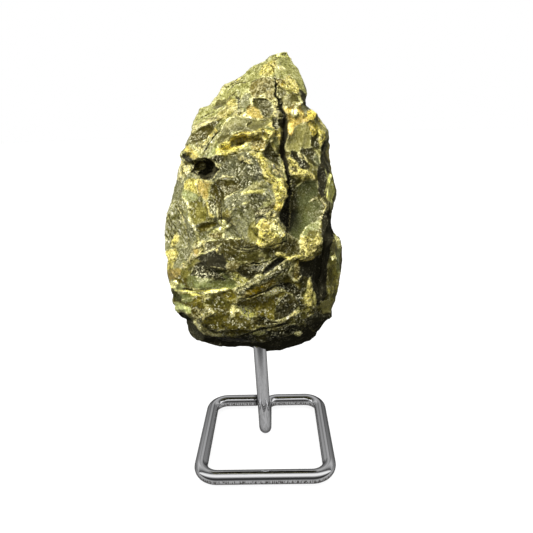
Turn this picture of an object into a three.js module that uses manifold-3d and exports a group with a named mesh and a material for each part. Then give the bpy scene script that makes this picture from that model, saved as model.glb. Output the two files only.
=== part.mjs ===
// A rough serpentine stone on a bent rod stand. Millimetres, +Z up, the stone's best side facing -Y.
// The stone is one solid: a lofted core, the slabs and lobes that stand proud of it, and the hollows,
// cracks and conchoidal scars that broke away from it. The stand is one rod, bent into an open square
// with its second end turned up as the post that the stone is drilled for.
import * as THREE from "three";
import { ConvexGeometry } from "three/addons/geometries/ConvexGeometry.js";
import { mergeVertices } from "three/addons/utils/BufferGeometryUtils.js";
import Module from "manifold-3d";

const wasm = await Module();
wasm.setup();

// ---- driving dimensions ----
const ROD = 4.8; // rod diameter
const ROD_SIDES = 16;
const BASE_SIDE = 50.8; // square base, outside to outside
const CORNER_RADIUS = 6.5; // base corners, at the rod's centre line
const FREE_END_X = -5; // where the rod's first end stops, on the back rail
const POST_X = -0.1;
const POST_Y = 1; // the post stands near the middle of the base
const POST_TURN_RADIUS = 5; // bends from the back rail inwards, and from there up
const POST_LEAN_X = -1.4; // sideways lean over the post's height
const POST_TOP = 50; // top of the post, inside the stone
const DRILL_CLEARANCE = 0.3; // round the post and above it

const STONE_AXIS = new THREE.Vector2(-2, 6); // the upright line that the stone is built around

// ---- solids ----
function solidOf(geometry) {
  const bare = new THREE.BufferGeometry().setAttribute("position", geometry.getAttribute("position"));
  if (geometry.index) bare.setIndex(geometry.index);
  const merged = mergeVertices(bare, 1e-4);
  return new wasm.Manifold(
    new wasm.Mesh({
      numProp: 3,
      vertProperties: merged.getAttribute("position").array,
      triVerts: new Uint32Array(merged.index.array),
    }),
  );
}

// A solid's faces, with every corner moved to a fine grid and the slivers that close up there left out.
const GRID = 0.01;
function geometryOf(solid) {
  const { numProp, triVerts, vertProperties } = solid.getMesh();
  const cornerAt = (i) => {
    const start = i * numProp;
    return [...vertProperties.subarray(start, start + 3)].map((v) => Math.round(v / GRID));
  };
  const faces = new Map();
  for (let i = 0; i < triVerts.length; i += 3) {
    const corners = [0, 1, 2].map((k) => cornerAt(triVerts[i + k]));
    const names = corners.map(String);
    if (new Set(names).size < 3) continue;
    const key = [...names].sort().join();
    if (faces.has(key)) faces.delete(key);
    else faces.set(key, corners);
  }
  const geometry = new THREE.BufferGeometry();
  const points = [...faces.values()].flat(2).map((v) => v * GRID);
  geometry.setAttribute("position", new THREE.Float32BufferAttribute(points, 3));
  geometry.computeVertexNormals();
  return geometry;
}

// ---- the rod ----
// A path of straight runs and round bends, with stations only where the rod turns.
class BentRod extends THREE.Curve {
  constructor() {
    super();
    this.stations = [];
  }
  straight(point, direction) {
    this.stations.push({ point: point.clone(), tangent: direction.clone().normalize() });
  }
  bend(from, to, centre, steps) {
    const start = from.clone().sub(centre);
    const end = to.clone().sub(centre);
    const angle = start.angleTo(end);
    const axis = start.clone().cross(end).normalize();
    for (let i = 0; i <= steps; i++) {
      const spoke = start.clone().applyAxisAngle(axis, (angle * i) / steps);
      this.straight(spoke.clone().add(centre), axis.clone().cross(spoke));
    }
  }
  at(u) {
    return this.stations[Math.round(u * (this.stations.length - 1))];
  }
  getPoint(u, target = new THREE.Vector3()) {
    return target.copy(this.at(u).point);
  }
  getPointAt(u, target) {
    return this.getPoint(u, target);
  }
  getTangentAt(u, target = new THREE.Vector3()) {
    return target.copy(this.at(u).tangent);
  }
}

function rodPath() {
  const v = (x, y, z) => new THREE.Vector3(x, y, z);
  const z = ROD / 2;
  const half = (BASE_SIDE - ROD) / 2;
  const r = CORNER_RADIUS;
  const t = POST_TURN_RADIUS;
  const path = new BentRod();
  path.straight(v(FREE_END_X, half, z), v(-1, 0, 0));
  for (const [sx, sy] of [[-1, 1], [-1, -1], [1, -1], [1, 1]]) {
    const centre = v(sx * (half - r), sy * (half - r), z);
    const onSide = v(sx * half, sy * (half - r), z);
    const onRail = v(sx * (half - r), sy * half, z);
    if (sx === -sy) path.bend(onRail, onSide, centre, 8);
    else path.bend(onSide, onRail, centre, 8);
  }
  path.bend(v(POST_X + t, half, z), v(POST_X, half - t, z), v(POST_X + t, half - t, z), 7);
  path.bend(v(POST_X, POST_Y + t, z), v(POST_X, POST_Y, z + t), v(POST_X, POST_Y + t, z + t), 8);
  path.straight(v(POST_X + POST_LEAN_X, POST_Y, POST_TOP), v(POST_LEAN_X, 0, POST_TOP));
  return path;
}

// The section has a flat side down, so the base rests on flat strips.
function section(radius) {
  const points = [];
  for (let i = 0; i < ROD_SIDES; i++) {
    const angle = ((i + 0.5) / ROD_SIDES) * 2 * Math.PI;
    points.push(new THREE.Vector2(radius * Math.cos(angle), radius * Math.sin(angle)));
  }
  return new THREE.Shape(points);
}

function wireStand() {
  const path = rodPath();
  const flatToFlat = ROD / 2 / Math.cos(Math.PI / ROD_SIDES);
  return new THREE.ExtrudeGeometry(section(flatToFlat), {
    extrudePath: path,
    steps: path.stations.length - 1,
  });
}

// ---- the stone's core: level sections from the foot to the summit ----
// [height, left, right, front, back]
const CORE = [
  [37.8, -8, 12, 3.5, 13],
  [39.8, -20, 18, 0.5, 18],
  [43.2, -27, 20.5, -6, 21.5],
  [48, -30, 23.8, -10.5, 24],
  [54, -33, 26.2, -13.5, 25.5],
  [62, -33.7, 27.2, -16, 26.5],
  [72, -33.8, 29, -17.5, 27],
  [80, -33.1, 28.9, -18, 27],
  [84.5, -32.3, 26.2, -18.5, 26.5],
  [90, -30.8, 26, -18.5, 25.5],
  [96, -29.2, 27, -18.5, 25],
  [104, -26.6, 25.4, -17.5, 24],
  [112, -24, 24, -15.5, 21.5],
  [118.5, -21.2, 22.1, -12.5, 19],
  [122.5, -19.6, 19, -10, 17.5],
  [126, -16, 16.1, -8, 15.5],
  [131, -10.6, 15.8, -5, 13],
  [135.5, -3, 14, -2.5, 11],
  [138.5, 2.6, 12, 0.5, 9.5],
  [140.3, 7.5, 10.8, 3, 7.5],
];
const CORE_SIDES = 30;
const CORE_SQUARENESS = 2.5; // exponent of the level sections, 2 being an ellipse

function core() {
  const points = [];
  for (const [z, left, right, front, back] of CORE) {
    const cx = (left + right) / 2;
    const cy = (front + back) / 2;
    for (let i = 0; i < CORE_SIDES; i++) {
      const a = (i / CORE_SIDES) * 2 * Math.PI;
      const rounding = (v) => Math.sign(v) * Math.abs(v) ** (2 / CORE_SQUARENESS);
      const swell = 1 + 0.025 * Math.sin(3 * a + z / 9) + 0.02 * Math.sin(5 * a - z / 5);
      points.push(
        cx + ((right - left) / 2) * rounding(Math.cos(a)) * (1 + (swell - 1) * Math.abs(Math.sin(a))),
        cy + ((back - front) / 2) * rounding(Math.sin(a)) * swell,
        z,
      );
    }
  }
  const indices = [];
  const rings = CORE.length;
  for (let k = 0; k + 1 < rings; k++)
    for (let i = 0; i < CORE_SIDES; i++) {
      const j = (i + 1) % CORE_SIDES;
      const [a, b] = [k * CORE_SIDES + i, k * CORE_SIDES + j];
      indices.push(a, b, b + CORE_SIDES, a, b + CORE_SIDES, a + CORE_SIDES);
    }
  for (let i = 1; i + 1 < CORE_SIDES; i++) {
    const top = (rings - 1) * CORE_SIDES;
    indices.push(0, i + 1, i, top, top + i, top + i + 1);
  }
  const geometry = new THREE.BufferGeometry();
  geometry.setAttribute("position", new THREE.Float32BufferAttribute(points, 3));
  geometry.setIndex(indices);
  return solidOf(geometry);
}

// ---- the slabs and lobes of the front, each by the corners of its outer face ----
const FRONT_BLOCKS = {
  face: [
    [-11, -18, 111.5], [1, -19.5, 112.5], [5.5, -21, 105], [9, -19.5, 97], [8, -19.5, 88], [2, -20.5, 84.5],
    [-7.5, -21.5, 84], [-17.5, -18.5, 85], [-19.5, -15.5, 93.5], [-14, -17, 104], [-4, -22, 101.5],
  ],
  cap: [
    [-11.5, -12, 118.5], [-8.5, -13, 122], [-3, -12, 123], [2.5, -12, 122], [4.5, -15, 118.5],
    [3.5, -17, 117.5], [1, -18.5, 117.8], [-4, -18.8, 117.5], [-8, -17.5, 115.5], [-11, -15.5, 112.2],
  ],
  shelf: [
    [-23.8, -8, 111.5], [-21, -10, 114], [-15, -13.5, 113.5], [-11, -16.5, 112.5], [-9.5, -18, 110],
    [-13, -16.5, 109.5], [-18, -13, 109.5], [-23, -9, 108.5],
  ],
  leftShoulder: [
    [-23, -6, 111.5], [-20.5, -6, 118], [-17.5, -5, 122], [-12.5, -8, 123], [-9.5, -12, 120],
    [-12, -15, 113], [-17, -13, 109.5], [-21.5, -9, 110],
  ],
  leftFlank: [
    [-29.5, -4, 91.5], [-20.5, -11, 103.5], [-13, -16, 103.5], [-18, -16, 84], [-26.5, -10, 84.5],
    [-29.5, -9, 75.5], [-21.5, -14, 78],
  ],
  belt: [
    [-29, -9, 74], [-27, -13, 69], [-18, -20, 70.5], [-8, -22, 71.5], [1, -21.5, 75.5], [10, -19, 79.5],
    [13, -17, 81.5], [3.5, -16, 81.5], [-8.5, -17, 78.5], [-20, -15, 78.5],
  ],
  foot: [
    [-28.5, -12, 64.5], [-24, -14, 59.5], [-19, -14, 54], [-5, -16, 54.5], [7.5, -15, 57.5],
    [14, -13, 62], [16, -12, 66.5], [8, -15, 70], [-6, -18, 66.5], [-22, -16, 67],
  ],
  rightCrown: [
    [7, 2, 138], [11.5, 4, 138.5], [14, 0, 132], [15.5, -3, 127.5], [15, -8, 123], [9.5, -11, 117],
    [7.5, -10, 124.5], [7, -5, 131.5],
  ],
  rightMiddle: [
    [9.5, -12, 119.5], [14.5, -10, 121.5], [16.5, -11, 114.5], [20, -9, 107.5], [19, -10, 101.5],
    [11, -14, 102], [9.5, -14, 112],
  ],
  scarLobe: [
    [10, -13, 101.5], [18.5, -11, 103], [20.5, -10, 94.5], [20, -12, 85.5], [18.5, -16, 79.5],
    [13, -18, 79], [8.5, -17, 83.5],
  ],
  footStrip: [
    [12.5, -17, 78], [18.5, -15, 79.5], [17, -12, 67], [15, -12, 60.5], [12.5, -14, 64.5],
    [11.5, -16, 73.5],
  ],
};
// knobs and ribs that stand on the broken faces
const KNOBS = {
  rib: [
    [-7.5, -19.5, 65.5], [1, -20, 69], [10, -18, 74.5], [11.5, -17.5, 79], [1, -22, 75], [-7, -21.8, 70.5],
  ],
  boss: [
    [1.5, -21.5, 94.5], [6.5, -21.5, 95], [9, -20, 91], [8, -20, 86], [1.5, -21.3, 84.5],
    [-1, -21.6, 90.5], [3.5, -22.6, 90],
  ],
  faceEdge: [
    [4, -19.5, 109], [6.5, -19, 108], [10, -18.5, 99], [9.5, -19, 95], [6, -21.3, 96], [3, -20.8, 103],
  ],
};
const BLOCK_ROOT_DEPTH = 12; // how far behind its face a block reaches into the core
const KNOB_SPREAD = 1.6; // a knob's breadth at its root to that of its face

function hullOf(corners) {
  return solidOf(new ConvexGeometry(corners.map((c) => new THREE.Vector3(...c))));
}

function block(corners, spread = 1) {
  const face = corners.map((c) => new THREE.Vector3(...c));
  const centre = face.reduce((sum, p) => sum.add(p), new THREE.Vector3()).divideScalar(face.length);
  const root = face.map((p) =>
    p.clone().lerp(centre, 1 - spread).add(new THREE.Vector3(0, BLOCK_ROOT_DEPTH, 0)),
  );
  return solidOf(new ConvexGeometry([...face, ...root]));
}

// ---- flat breaks, each by three points in its plane; all outside the plane is gone ----
const FLAT_BREAKS = {
  footBack: [[-10, 15, 38.8], [12, 15, 38.8], [2, 26.5, 56]],
  footBackLeft: [[-28, 15, 45], [-14, 24, 46], [-32, 18, 62]],
  leftSlope: [[-19, -4, 119.8], [-9, -9.5, 122.2], [4.5, -2, 135.4]],
  summitRight: [[7, -2, 136.5], [13.5, 3, 136], [15, -7, 124]],
  summitBack: [[-4, 12, 133], [12, 9, 137], [2, 20, 118]],
  backLeft: [[-25, 12, 110], [-31, 16, 80], [-12, 24.5, 96]],
  backRight: [[23, 15, 104], [29, 16, 74], [14, 25, 88]],
  backLow: [[-12, 26.5, 76], [10, 26.5, 72], [0, 24, 50]],
  backHigh: [[-10, 20, 116], [14, 18, 116], [2, 25, 98]],
};
const BREAK_BLOCK = 120; // side of the cutting block, larger than the stone

function behindPlane(corners) {
  const [a, b, c] = corners.map((p) => new THREE.Vector3(...p));
  const normal = b.clone().sub(a).cross(c.clone().sub(a)).normalize();
  const inward = new THREE.Vector3(STONE_AXIS.x, STONE_AXIS.y, a.z).sub(a);
  if (normal.dot(inward) > 0) normal.negate();
  return cuttingBlock(normal, normal.dot(a));
}

function cuttingBlock(normal, offset) {
  const turn = new THREE.Quaternion().setFromUnitVectors(new THREE.Vector3(0, 0, 1), normal);
  const box = new THREE.BoxGeometry(BREAK_BLOCK, BREAK_BLOCK, BREAK_BLOCK);
  const side = normal.clone().multiplyScalar(offset);
  const beside = new THREE.Vector3(STONE_AXIS.x, STONE_AXIS.y, 90).projectOnPlane(normal).add(side);
  box.translate(0, 0, BREAK_BLOCK / 2).applyQuaternion(turn).translate(beside.x, beside.y, beside.z);
  return solidOf(box);
}

// ---- angular recesses, each the block that fell out: its mouth and its floor ----
const RECESSES = {
  pit: [
    [-19.4, -17, 110.4], [-13.8, -21, 111], [-9, -24, 110.4], [-8.6, -24, 107.8], [-11, -24, 104.8],
    [-15.4, -21, 103], [-19.6, -17, 106], [-17, -6.5, 108], [-13, -8.5, 108.8], [-12.4, -10, 106.4],
    [-15.4, -8, 105.2],
  ],
  pitNotch: [
    [-24.5, -16, 112.6], [-20, -17, 113.2], [-17, -18, 111.4], [-17.5, -18, 109.6], [-22.5, -16, 108.6],
    [-21.5, -6.5, 111], [-18.5, -8.5, 110.8],
  ],
  underCap: [
    [-7.6, -19, 113], [-6.6, -20, 116], [-4, -20.5, 117.2], [-1.4, -20.5, 117], [-1.2, -20, 114.2],
    [-4, -19, 112.6], [-5.4, -12.4, 114], [-3, -12.4, 115.4], [-2.6, -12.6, 113.8],
  ],
  rightGroove: [
    [16.6, -21, 85], [20.6, -18, 85], [23.6, -16, 77], [23, -16, 68], [20.6, -15, 61], [17.4, -18, 62],
    [16.8, -19, 69], [16.4, -20, 78], [19.6, -9.4, 82], [19.8, -8.6, 75], [20.4, -7.6, 66],
  ],
  overhang: [
    [-20, -25, 84], [-4, -25, 84.2], [9, -25, 85.5], [13, -25, 82], [2, -25, 78.5], [-17, -25, 78.5],
    [-16, -15.5, 83.5], [8, -15.5, 84.5], [9, -17, 82], [-15, -17, 80.5],
  ],
};

// ---- conchoidal hollows: a ball sunk into the surface by its depth ----
// point on the surface, the way it faces, ball radius, depth
const HOLLOWS = {
  greenScar: [[16.5, -13, 95], [0.35, -0.92, 0.12], 14.5, 5],
  capTop: [[-3.5, -15, 120.5], [0.05, -0.75, 0.65], 60, 1.2],
  slopeLow: [[-10.5, -4.6, 124.6], [-0.45, -0.5, 0.74], 26, 1.1],
  slopeHigh: [[-3, -5.6, 128.4], [-0.38, -0.6, 0.7], 22, 1],
  upperPane: [[2.2, -7.4, 126.4], [0.03, -0.86, 0.51], 14, 1.2],
  crackPane: [[5.4, -10.4, 121.6], [0.08, -0.84, 0.54], 12, 1.2],
  darkPane: [[-15, -11, 116.5], [-0.55, -0.75, 0.4], 26, 1.3],
  lowScar: [[-14.5, -19.5, 76], [-0.25, -0.8, 0.55], 17, 3],
  waistRight: [[26, -1, 86.5], [0.97, -0.2, 0], 12, 2],
  faceTop: [[-6, -20.5, 103.5], [-0.15, -0.97, 0.2], 36, 1.4],
  faceLow: [[0, -21, 93], [0.1, -1, 0], 34, 1.2],
  faceLeft: [[-15, -17.5, 94], [-0.5, -0.85, 0.1], 34, 1.4],
  flankLow: [[-26, -10, 86], [-0.65, -0.75, 0.1], 28, 1.4],
  crownPane: [[14, -8.5, 113.5], [0.45, -0.85, 0.2], 30, 1],
  crownSide: [[19.4, -5.2, 116], [0.5, -0.86, 0.05], 20, 1.2],
  scarSide: [[21.4, -8.6, 101], [0.6, -0.78, 0.1], 18, 1.4],
  footPane: [[-6, -17, 62], [-0.1, -0.98, 0], 36, 1.6],
  bulgePane: [[25, -6, 72], [0.8, -0.6, 0], 36, 1.2],
  bulgeFoot: [[22, -7.5, 57], [0.66, -0.7, -0.25], 34, 1.6],
  footUnder: [[6, -11, 47], [0.1, -0.85, -0.5], 40, 1.6],
  footLeft: [[-20, -11, 50], [-0.4, -0.8, -0.4], 34, 1.6],
};
const BALL_DETAIL = 5;

function ballAt(point, facing, radius, depth, detail = BALL_DETAIL) {
  const centre = new THREE.Vector3(...facing).normalize().multiplyScalar(radius - depth);
  centre.add(new THREE.Vector3(...point));
  return solidOf(new THREE.IcosahedronGeometry(radius, detail).translate(centre.x, centre.y, centre.z));
}

// ---- the long crack between the two lobes: its mouth, from the summit downwards ----
// [x, y, z, half width]
const CRACK_MOUTH = [
  [6.3, -3.5, 132, 0.2], [6.6, -5.5, 127.5, 0.7], [8, -10.2, 123, 1], [8.8, -11, 118.8, 1.2],
  [8.9, -13, 113.1, 1.2], [9.8, -15, 103.5, 1.2], [10, -16, 97, 0.9], [10, -17, 88, 0.3],
];
const CRACK_DEPTH = 6;

function crackSegment(from, to) {
  const corners = [];
  for (const [x, y, z, half] of [from, to]) {
    corners.push(new THREE.Vector3(x - half, y - 3, z));
    corners.push(new THREE.Vector3(x + half, y - 3, z));
    corners.push(new THREE.Vector3(x, y + CRACK_DEPTH * Math.min(1, half), z));
  }
  return solidOf(new ConvexGeometry(corners));
}

// ---- small chips all over and flat spalls behind, from a seeded sequence ----
const CHIP_SEED = 20;
const CHIPS = 60;
const CHIP_RADIUS = [20, 48];
const CHIP_DEPTH = [0.7, 2];
const CHIP_DETAIL = 4;
const CHIP_FREE_FRONT = -0.3; // chips that would face further forwards than this are left out

function sequence(seed) {
  let state = seed;
  return () => {
    state = (state * 1664525 + 1013904223) % 4294967296;
    return state / 4294967296;
  };
}

const random = sequence(CHIP_SEED);
const between = ([low, high]) => low + (high - low) * random();

const SPALLS = 16;
const SPALL_TURN = [0.22, 0.78]; // of a half turn, from +X round the back to -X
const SPALL_TILT = [-0.2, 0.5];
const SPALL_DEPTH = [0.6, 2.4];

function spalls(solid) {
  const points = geometryOf(solid).getAttribute("position");
  const point = new THREE.Vector3();
  const blocks = [];
  for (let i = 0; i < SPALLS; i++) {
    const turn = Math.PI * (SPALL_TURN[0] + (SPALL_TURN[1] - SPALL_TURN[0]) * ((i * 0.382) % 1));
    const normal = new THREE.Vector3(Math.cos(turn), Math.sin(turn), between(SPALL_TILT)).normalize();
    let reach = -Infinity;
    for (let k = 0; k < points.count; k++)
      reach = Math.max(reach, normal.dot(point.fromBufferAttribute(points, k)));
    blocks.push(cuttingBlock(normal, reach - between(SPALL_DEPTH)));
  }
  return blocks;
}

function chips(solid) {
  const target = new THREE.Mesh(geometryOf(solid), new THREE.MeshBasicMaterial());
  const balls = [];
  for (let i = 0; i < CHIPS; i++) {
    const turn = ((i * 0.382 + 0.1 * random()) % 1) * 2 * Math.PI;
    const height = 46 + 88 * random();
    const outward = new THREE.Vector3(Math.cos(turn), Math.sin(turn), 0.3 * random() - 0.15).normalize();
    const axis = new THREE.Vector3(STONE_AXIS.x + 8 * Math.max(0, (height - 110) / 30), STONE_AXIS.y, height);
    const start = axis.clone().addScaledVector(outward, 80);
    const hit = new THREE.Raycaster(start, outward.clone().negate()).intersectObject(target)[0];
    if (!hit) continue;
    const facing = hit.face.normal.clone().add(outward.multiplyScalar(0.5)).normalize();
    const depth = between(CHIP_DEPTH) * (facing.y > 0.3 ? 1 : 0.5);
    if (facing.y < CHIP_FREE_FRONT) continue;
    balls.push(ballAt(hit.point.toArray(), facing.toArray(), between(CHIP_RADIUS), depth, CHIP_DETAIL));
  }
  return balls;
}

// ---- the hole drilled for the post ----
function drilledHole() {
  const radius = (ROD / 2 + DRILL_CLEARANCE) / Math.cos(Math.PI / 32);
  const length = 40;
  const hole = new THREE.CylinderGeometry(radius, radius, length, 32).rotateX(Math.PI / 2);
  hole.translate(0, 0, POST_TOP + DRILL_CLEARANCE - length / 2);
  const sheared = new THREE.Matrix4().set(
    1, 0, POST_LEAN_X / POST_TOP, POST_X,
    0, 1, 0, POST_Y,
    0, 0, 1, 0,
    0, 0, 0, 1,
  );
  return solidOf(hole.applyMatrix4(sheared));
}

let stone = core();
for (const corners of Object.values(FRONT_BLOCKS)) stone = stone.add(block(corners));
for (const corners of Object.values(FLAT_BREAKS)) stone = stone.subtract(behindPlane(corners));
for (const cut of spalls(stone)) stone = stone.subtract(cut);
for (const corners of Object.values(RECESSES)) stone = stone.subtract(hullOf(corners));
for (const hollow of Object.values(HOLLOWS)) stone = stone.subtract(ballAt(...hollow));
for (const ball of chips(stone)) stone = stone.subtract(ball);
for (const corners of Object.values(KNOBS)) stone = stone.add(block(corners, KNOB_SPREAD));
for (let i = 0; i + 1 < CRACK_MOUTH.length; i++)
  stone = stone.subtract(crackSegment(CRACK_MOUTH[i], CRACK_MOUTH[i + 1]));
stone = stone.subtract(drilledHole());

// ---- assembly ----
const STONE_MATERIAL = new THREE.MeshStandardMaterial({ color: 0x6b6a3a, roughness: 0.5, metalness: 0 });
const CHROME_MATERIAL = new THREE.MeshStandardMaterial({ color: 0xc8c8c8, roughness: 0.12, metalness: 1 });

const part = new THREE.Group();
const standMesh = new THREE.Mesh(wireStand(), CHROME_MATERIAL);
standMesh.name = "wire_stand";
part.add(standMesh);
const stoneMesh = new THREE.Mesh(geometryOf(stone), STONE_MATERIAL);
stoneMesh.name = "serpentine_rock";
part.add(stoneMesh);

// The origin is the middle of the whole part's underside.
const bounds = new THREE.Box3().setFromObject(part);
const middle = bounds.getCenter(new THREE.Vector3());
for (const mesh of part.children) mesh.geometry.translate(-middle.x, -middle.y, -bounds.min.z);

export default part;
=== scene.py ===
"""Looks for a rough serpentine stone held on the post of a bent chrome wire stand.

The stone is the CAD solid, made even and fine, broken into small facets, and given the panes, crusts and
cracks of its best face. Those are placed by the pixels of the photograph, through the camera that took it.
Lengths are in millimetres until a mesh is written, which is in metres.
"""
import itertools
import math

import bmesh
import bpy
import numpy as np
from mathutils import Matrix, Vector
from mathutils.bvhtree import BVHTree


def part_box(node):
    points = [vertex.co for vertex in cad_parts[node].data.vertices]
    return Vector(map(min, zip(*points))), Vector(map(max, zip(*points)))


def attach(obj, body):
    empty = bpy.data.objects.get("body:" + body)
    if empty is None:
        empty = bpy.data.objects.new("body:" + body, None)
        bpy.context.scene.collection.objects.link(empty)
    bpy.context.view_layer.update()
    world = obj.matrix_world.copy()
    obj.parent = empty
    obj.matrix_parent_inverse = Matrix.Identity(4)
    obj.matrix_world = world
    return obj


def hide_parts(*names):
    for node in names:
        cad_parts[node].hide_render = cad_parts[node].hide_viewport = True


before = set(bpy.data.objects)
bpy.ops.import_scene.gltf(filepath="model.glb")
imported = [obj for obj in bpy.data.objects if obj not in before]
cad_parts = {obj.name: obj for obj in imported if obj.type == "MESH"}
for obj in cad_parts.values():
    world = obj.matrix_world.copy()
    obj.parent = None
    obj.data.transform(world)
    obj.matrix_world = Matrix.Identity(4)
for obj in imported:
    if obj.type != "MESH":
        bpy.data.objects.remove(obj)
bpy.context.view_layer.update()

MM = 0.001

# ---- the photograph's camera, from the middle of the square base ----
PHOTO_SIDE = 533  # pixels
FOCAL = 459.9  # pixels
CAMERA_PLACE = (5.37, -152.99, 120.14)
CAMERA_YAW = math.radians(-1.189)
CAMERA_PITCH = math.radians(17.592)
CAMERA_ROLL = math.radians(-1.622)
SENSOR = 36
CLIP_START = 10


def base_middle():
    low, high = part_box("wire_stand")
    return np.array([(low.x + high.x) / 2 / MM, (low.y + high.y) / 2 / MM, low.z / MM])


MIDDLE = base_middle()
EYE = np.array(CAMERA_PLACE) + MIDDLE


def camera_axes():
    """Right, up and forwards, as rows."""
    level = np.array([math.cos(CAMERA_YAW), -math.sin(CAMERA_YAW), 0])
    ahead = math.cos(CAMERA_PITCH)
    forwards = np.array([math.sin(CAMERA_YAW) * ahead, math.cos(CAMERA_YAW) * ahead, -math.sin(CAMERA_PITCH)])
    upright = np.cross(level, forwards)
    right = level * math.cos(CAMERA_ROLL) + upright * math.sin(CAMERA_ROLL)
    up = upright * math.cos(CAMERA_ROLL) - level * math.sin(CAMERA_ROLL)
    return np.array([right, up, forwards])


AXES = camera_axes()


def pixels_of(points):
    """Where points land in the photograph, and how far off they are."""
    seen = (points - EYE) @ AXES.T
    depth = seen[:, 2]
    u = PHOTO_SIDE / 2 + FOCAL * seen[:, 0] / depth
    v = PHOTO_SIDE / 2 - FOCAL * seen[:, 1] / depth
    return np.stack([u, v], 1), depth


def add_camera():
    data = bpy.data.cameras.new("photo_camera")
    data.sensor_width = SENSOR
    data.lens = FOCAL / PHOTO_SIDE * SENSOR
    data.clip_start = CLIP_START * MM
    camera = bpy.data.objects.new("photo_camera", data)
    place = Matrix((AXES[0], AXES[1], -AXES[2])).transposed().to_4x4()
    place.translation = Vector(EYE * MM)
    camera.matrix_world = place
    bpy.context.scene.collection.objects.link(camera)
    bpy.context.scene.camera = camera


# ---- noise ----
# The hash of a whole-number cell: a factor for each direction and for the seed, then rounds of mixing.
CELL_PRIMES = (73856093, 19349663, 83492791)
SEED_PRIME = 2654435761
MIXING = ((15, 2246822519), (13, 3266489917))  # each round's shift and factor
LAST_SHIFT = 16
WORD = 0xFFFFFFFF
FRACTION = 0xFFFFFF
OCTAVE_SHIFT = 17.3  # keeps the cells of two octaves from lying on each other


def hashed(cells, seed):
    """A number from 0 to 1 for each whole-number cell."""
    x, y, z = (cells.astype(np.int64) * CELL_PRIMES).T
    mixed = (x ^ y ^ z ^ (seed * SEED_PRIME)) & WORD
    for shift, factor in MIXING:
        mixed = ((mixed ^ (mixed >> shift)) * factor) & WORD
    return ((mixed ^ (mixed >> LAST_SHIFT)) & FRACTION) / FRACTION


def noise(points, size, seed, octaves):
    """Smooth noise from -1 to 1 with features of the given size, halved for each further octave."""
    total = np.zeros(len(points))
    weight = 0
    for octave in range(octaves):
        scaled = points / size * 2**octave + OCTAVE_SHIFT * octave
        cell = np.floor(scaled)
        t = scaled - cell
        t = t * t * t * (t * (t * 6 - 15) + 10)
        value = np.zeros(len(points))
        for corner in itertools.product((0, 1), repeat=3):
            share = np.prod(np.where(corner, t, 1 - t), axis=1)
            value += share * hashed(cell + corner, seed + octave)
        total += (2 * value - 1) / 2**octave
        weight += 1 / 2**octave
    return total / weight


def chipped(points, size, seed):
    """A knapped surface: shallow tilted bowls that meet in ridges.

    Gives the height in bowls of the given size, how far off the next bowl is, and each bowl's own numbers.
    """
    scaled = points / size
    cell = np.floor(scaled)
    low = np.full(len(points), np.inf)
    following = low.copy()
    own = np.zeros_like(points)
    for step in itertools.product((-1, 0, 1), repeat=3):
        here = cell + step
        jitter = np.stack([hashed(here, seed + k) for k in range(3)], 1)
        gap = scaled - (here + jitter)
        height = np.sum(gap * (gap + jitter[:, (1, 2, 0)] - 0.5), axis=1)
        lower = height < low
        following = np.where(lower, low, np.minimum(following, height))
        low = np.where(lower, height, low)
        own[lower] = jitter[lower]
    return low, following - low, own


def wandering(points, reach, size, seed, octaves):
    """The points, moved about by noise, so that straight borders laid by them come out uneven."""
    return points + reach * np.stack([noise(points, size, seed + k, octaves) for k in range(3)], 1)


def ramp(low, high, value):
    """A smooth rise from 0 at low to 1 at high, or a fall where low is the larger."""
    t = np.clip((value - low) / (high - low), 0, 1)
    return t * t * (3 - 2 * t)


# ---- finishes of the stone: colour in daylight, roughness, chip height, facets, blotches, streaks ----
FINISHES = {
    "pale": ((174, 173, 104), 0.34, 0.4, 0.6, 0.4, 1.0),
    "summit": ((158, 157, 92), 0.34, 0.3, 0.3, 0.4, 0.7),
    "olive": ((124, 118, 54), 0.32, 0.22, 0.5, 0.35, 0.3),
    "tan": ((136, 131, 78), 0.32, 0.15, 0.2, 0.15, 0.1),
    "wax": ((213, 206, 120), 0.3, 0.08, 0.15, 0.15, 0.15),
    "ochre": ((196, 177, 79), 0.38, 0.35, 0.5, 0.6, 0.2),
    "orange": ((204, 180, 98), 0.38, 0.3, 0.3, 0.4, 0.2),
    "yellow": ((212, 199, 98), 0.42, 0.8, 0.9, 1.0, 0.25),
    "cream": ((214, 208, 148), 0.42, 0.8, 0.9, 0.85, 0.4),
    "grey": ((140, 139, 100), 0.28, 0.25, 0.9, 0.2, 0.4),
    "moss": ((94, 98, 58), 0.24, 0.12, 0.3, 0.1, 0.1),
    "mint": ((156, 160, 104), 0.34, 0.35, 0.5, 0.3, 0.5),
    "dark": ((82, 78, 30), 0.3, 0.4, 0.9, 0.3, 0.3),
    "umber": ((68, 62, 18), 0.32, 0.4, 0.8, 0.35, 0.3),
    "amber": ((120, 102, 10), 0.32, 0.45, 0.6, 0.7, 0.3),
    # near black, laid where shade falls in cracks, hollows and underneath: painted shade
    "black": ((14, 12, 2), 0.9, 0.3, 0.15, 0.3, 0.1),
    "smooth": ((140, 136, 90), 0.3, 0.12, 0.25, 0.12, 0.5),
    "streaky": ((150, 148, 104), 0.34, 0.4, 0.8, 0.5, 1.8),
    "bark": ((62, 58, 28), 0.4, 0.45, 0.9, 0.5, 1.6),
    "shadow": ((54, 52, 20), 0.75, 0.3, 0.4, 0.3, 0.3),
    "rim": ((255, 250, 176), 0.42, 0.6, 0.8, 0.7, 0.3),
    "sparkle": ((92, 90, 52), 0.28, 0.5, 1.7, 0.5, 0.3),
}
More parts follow.
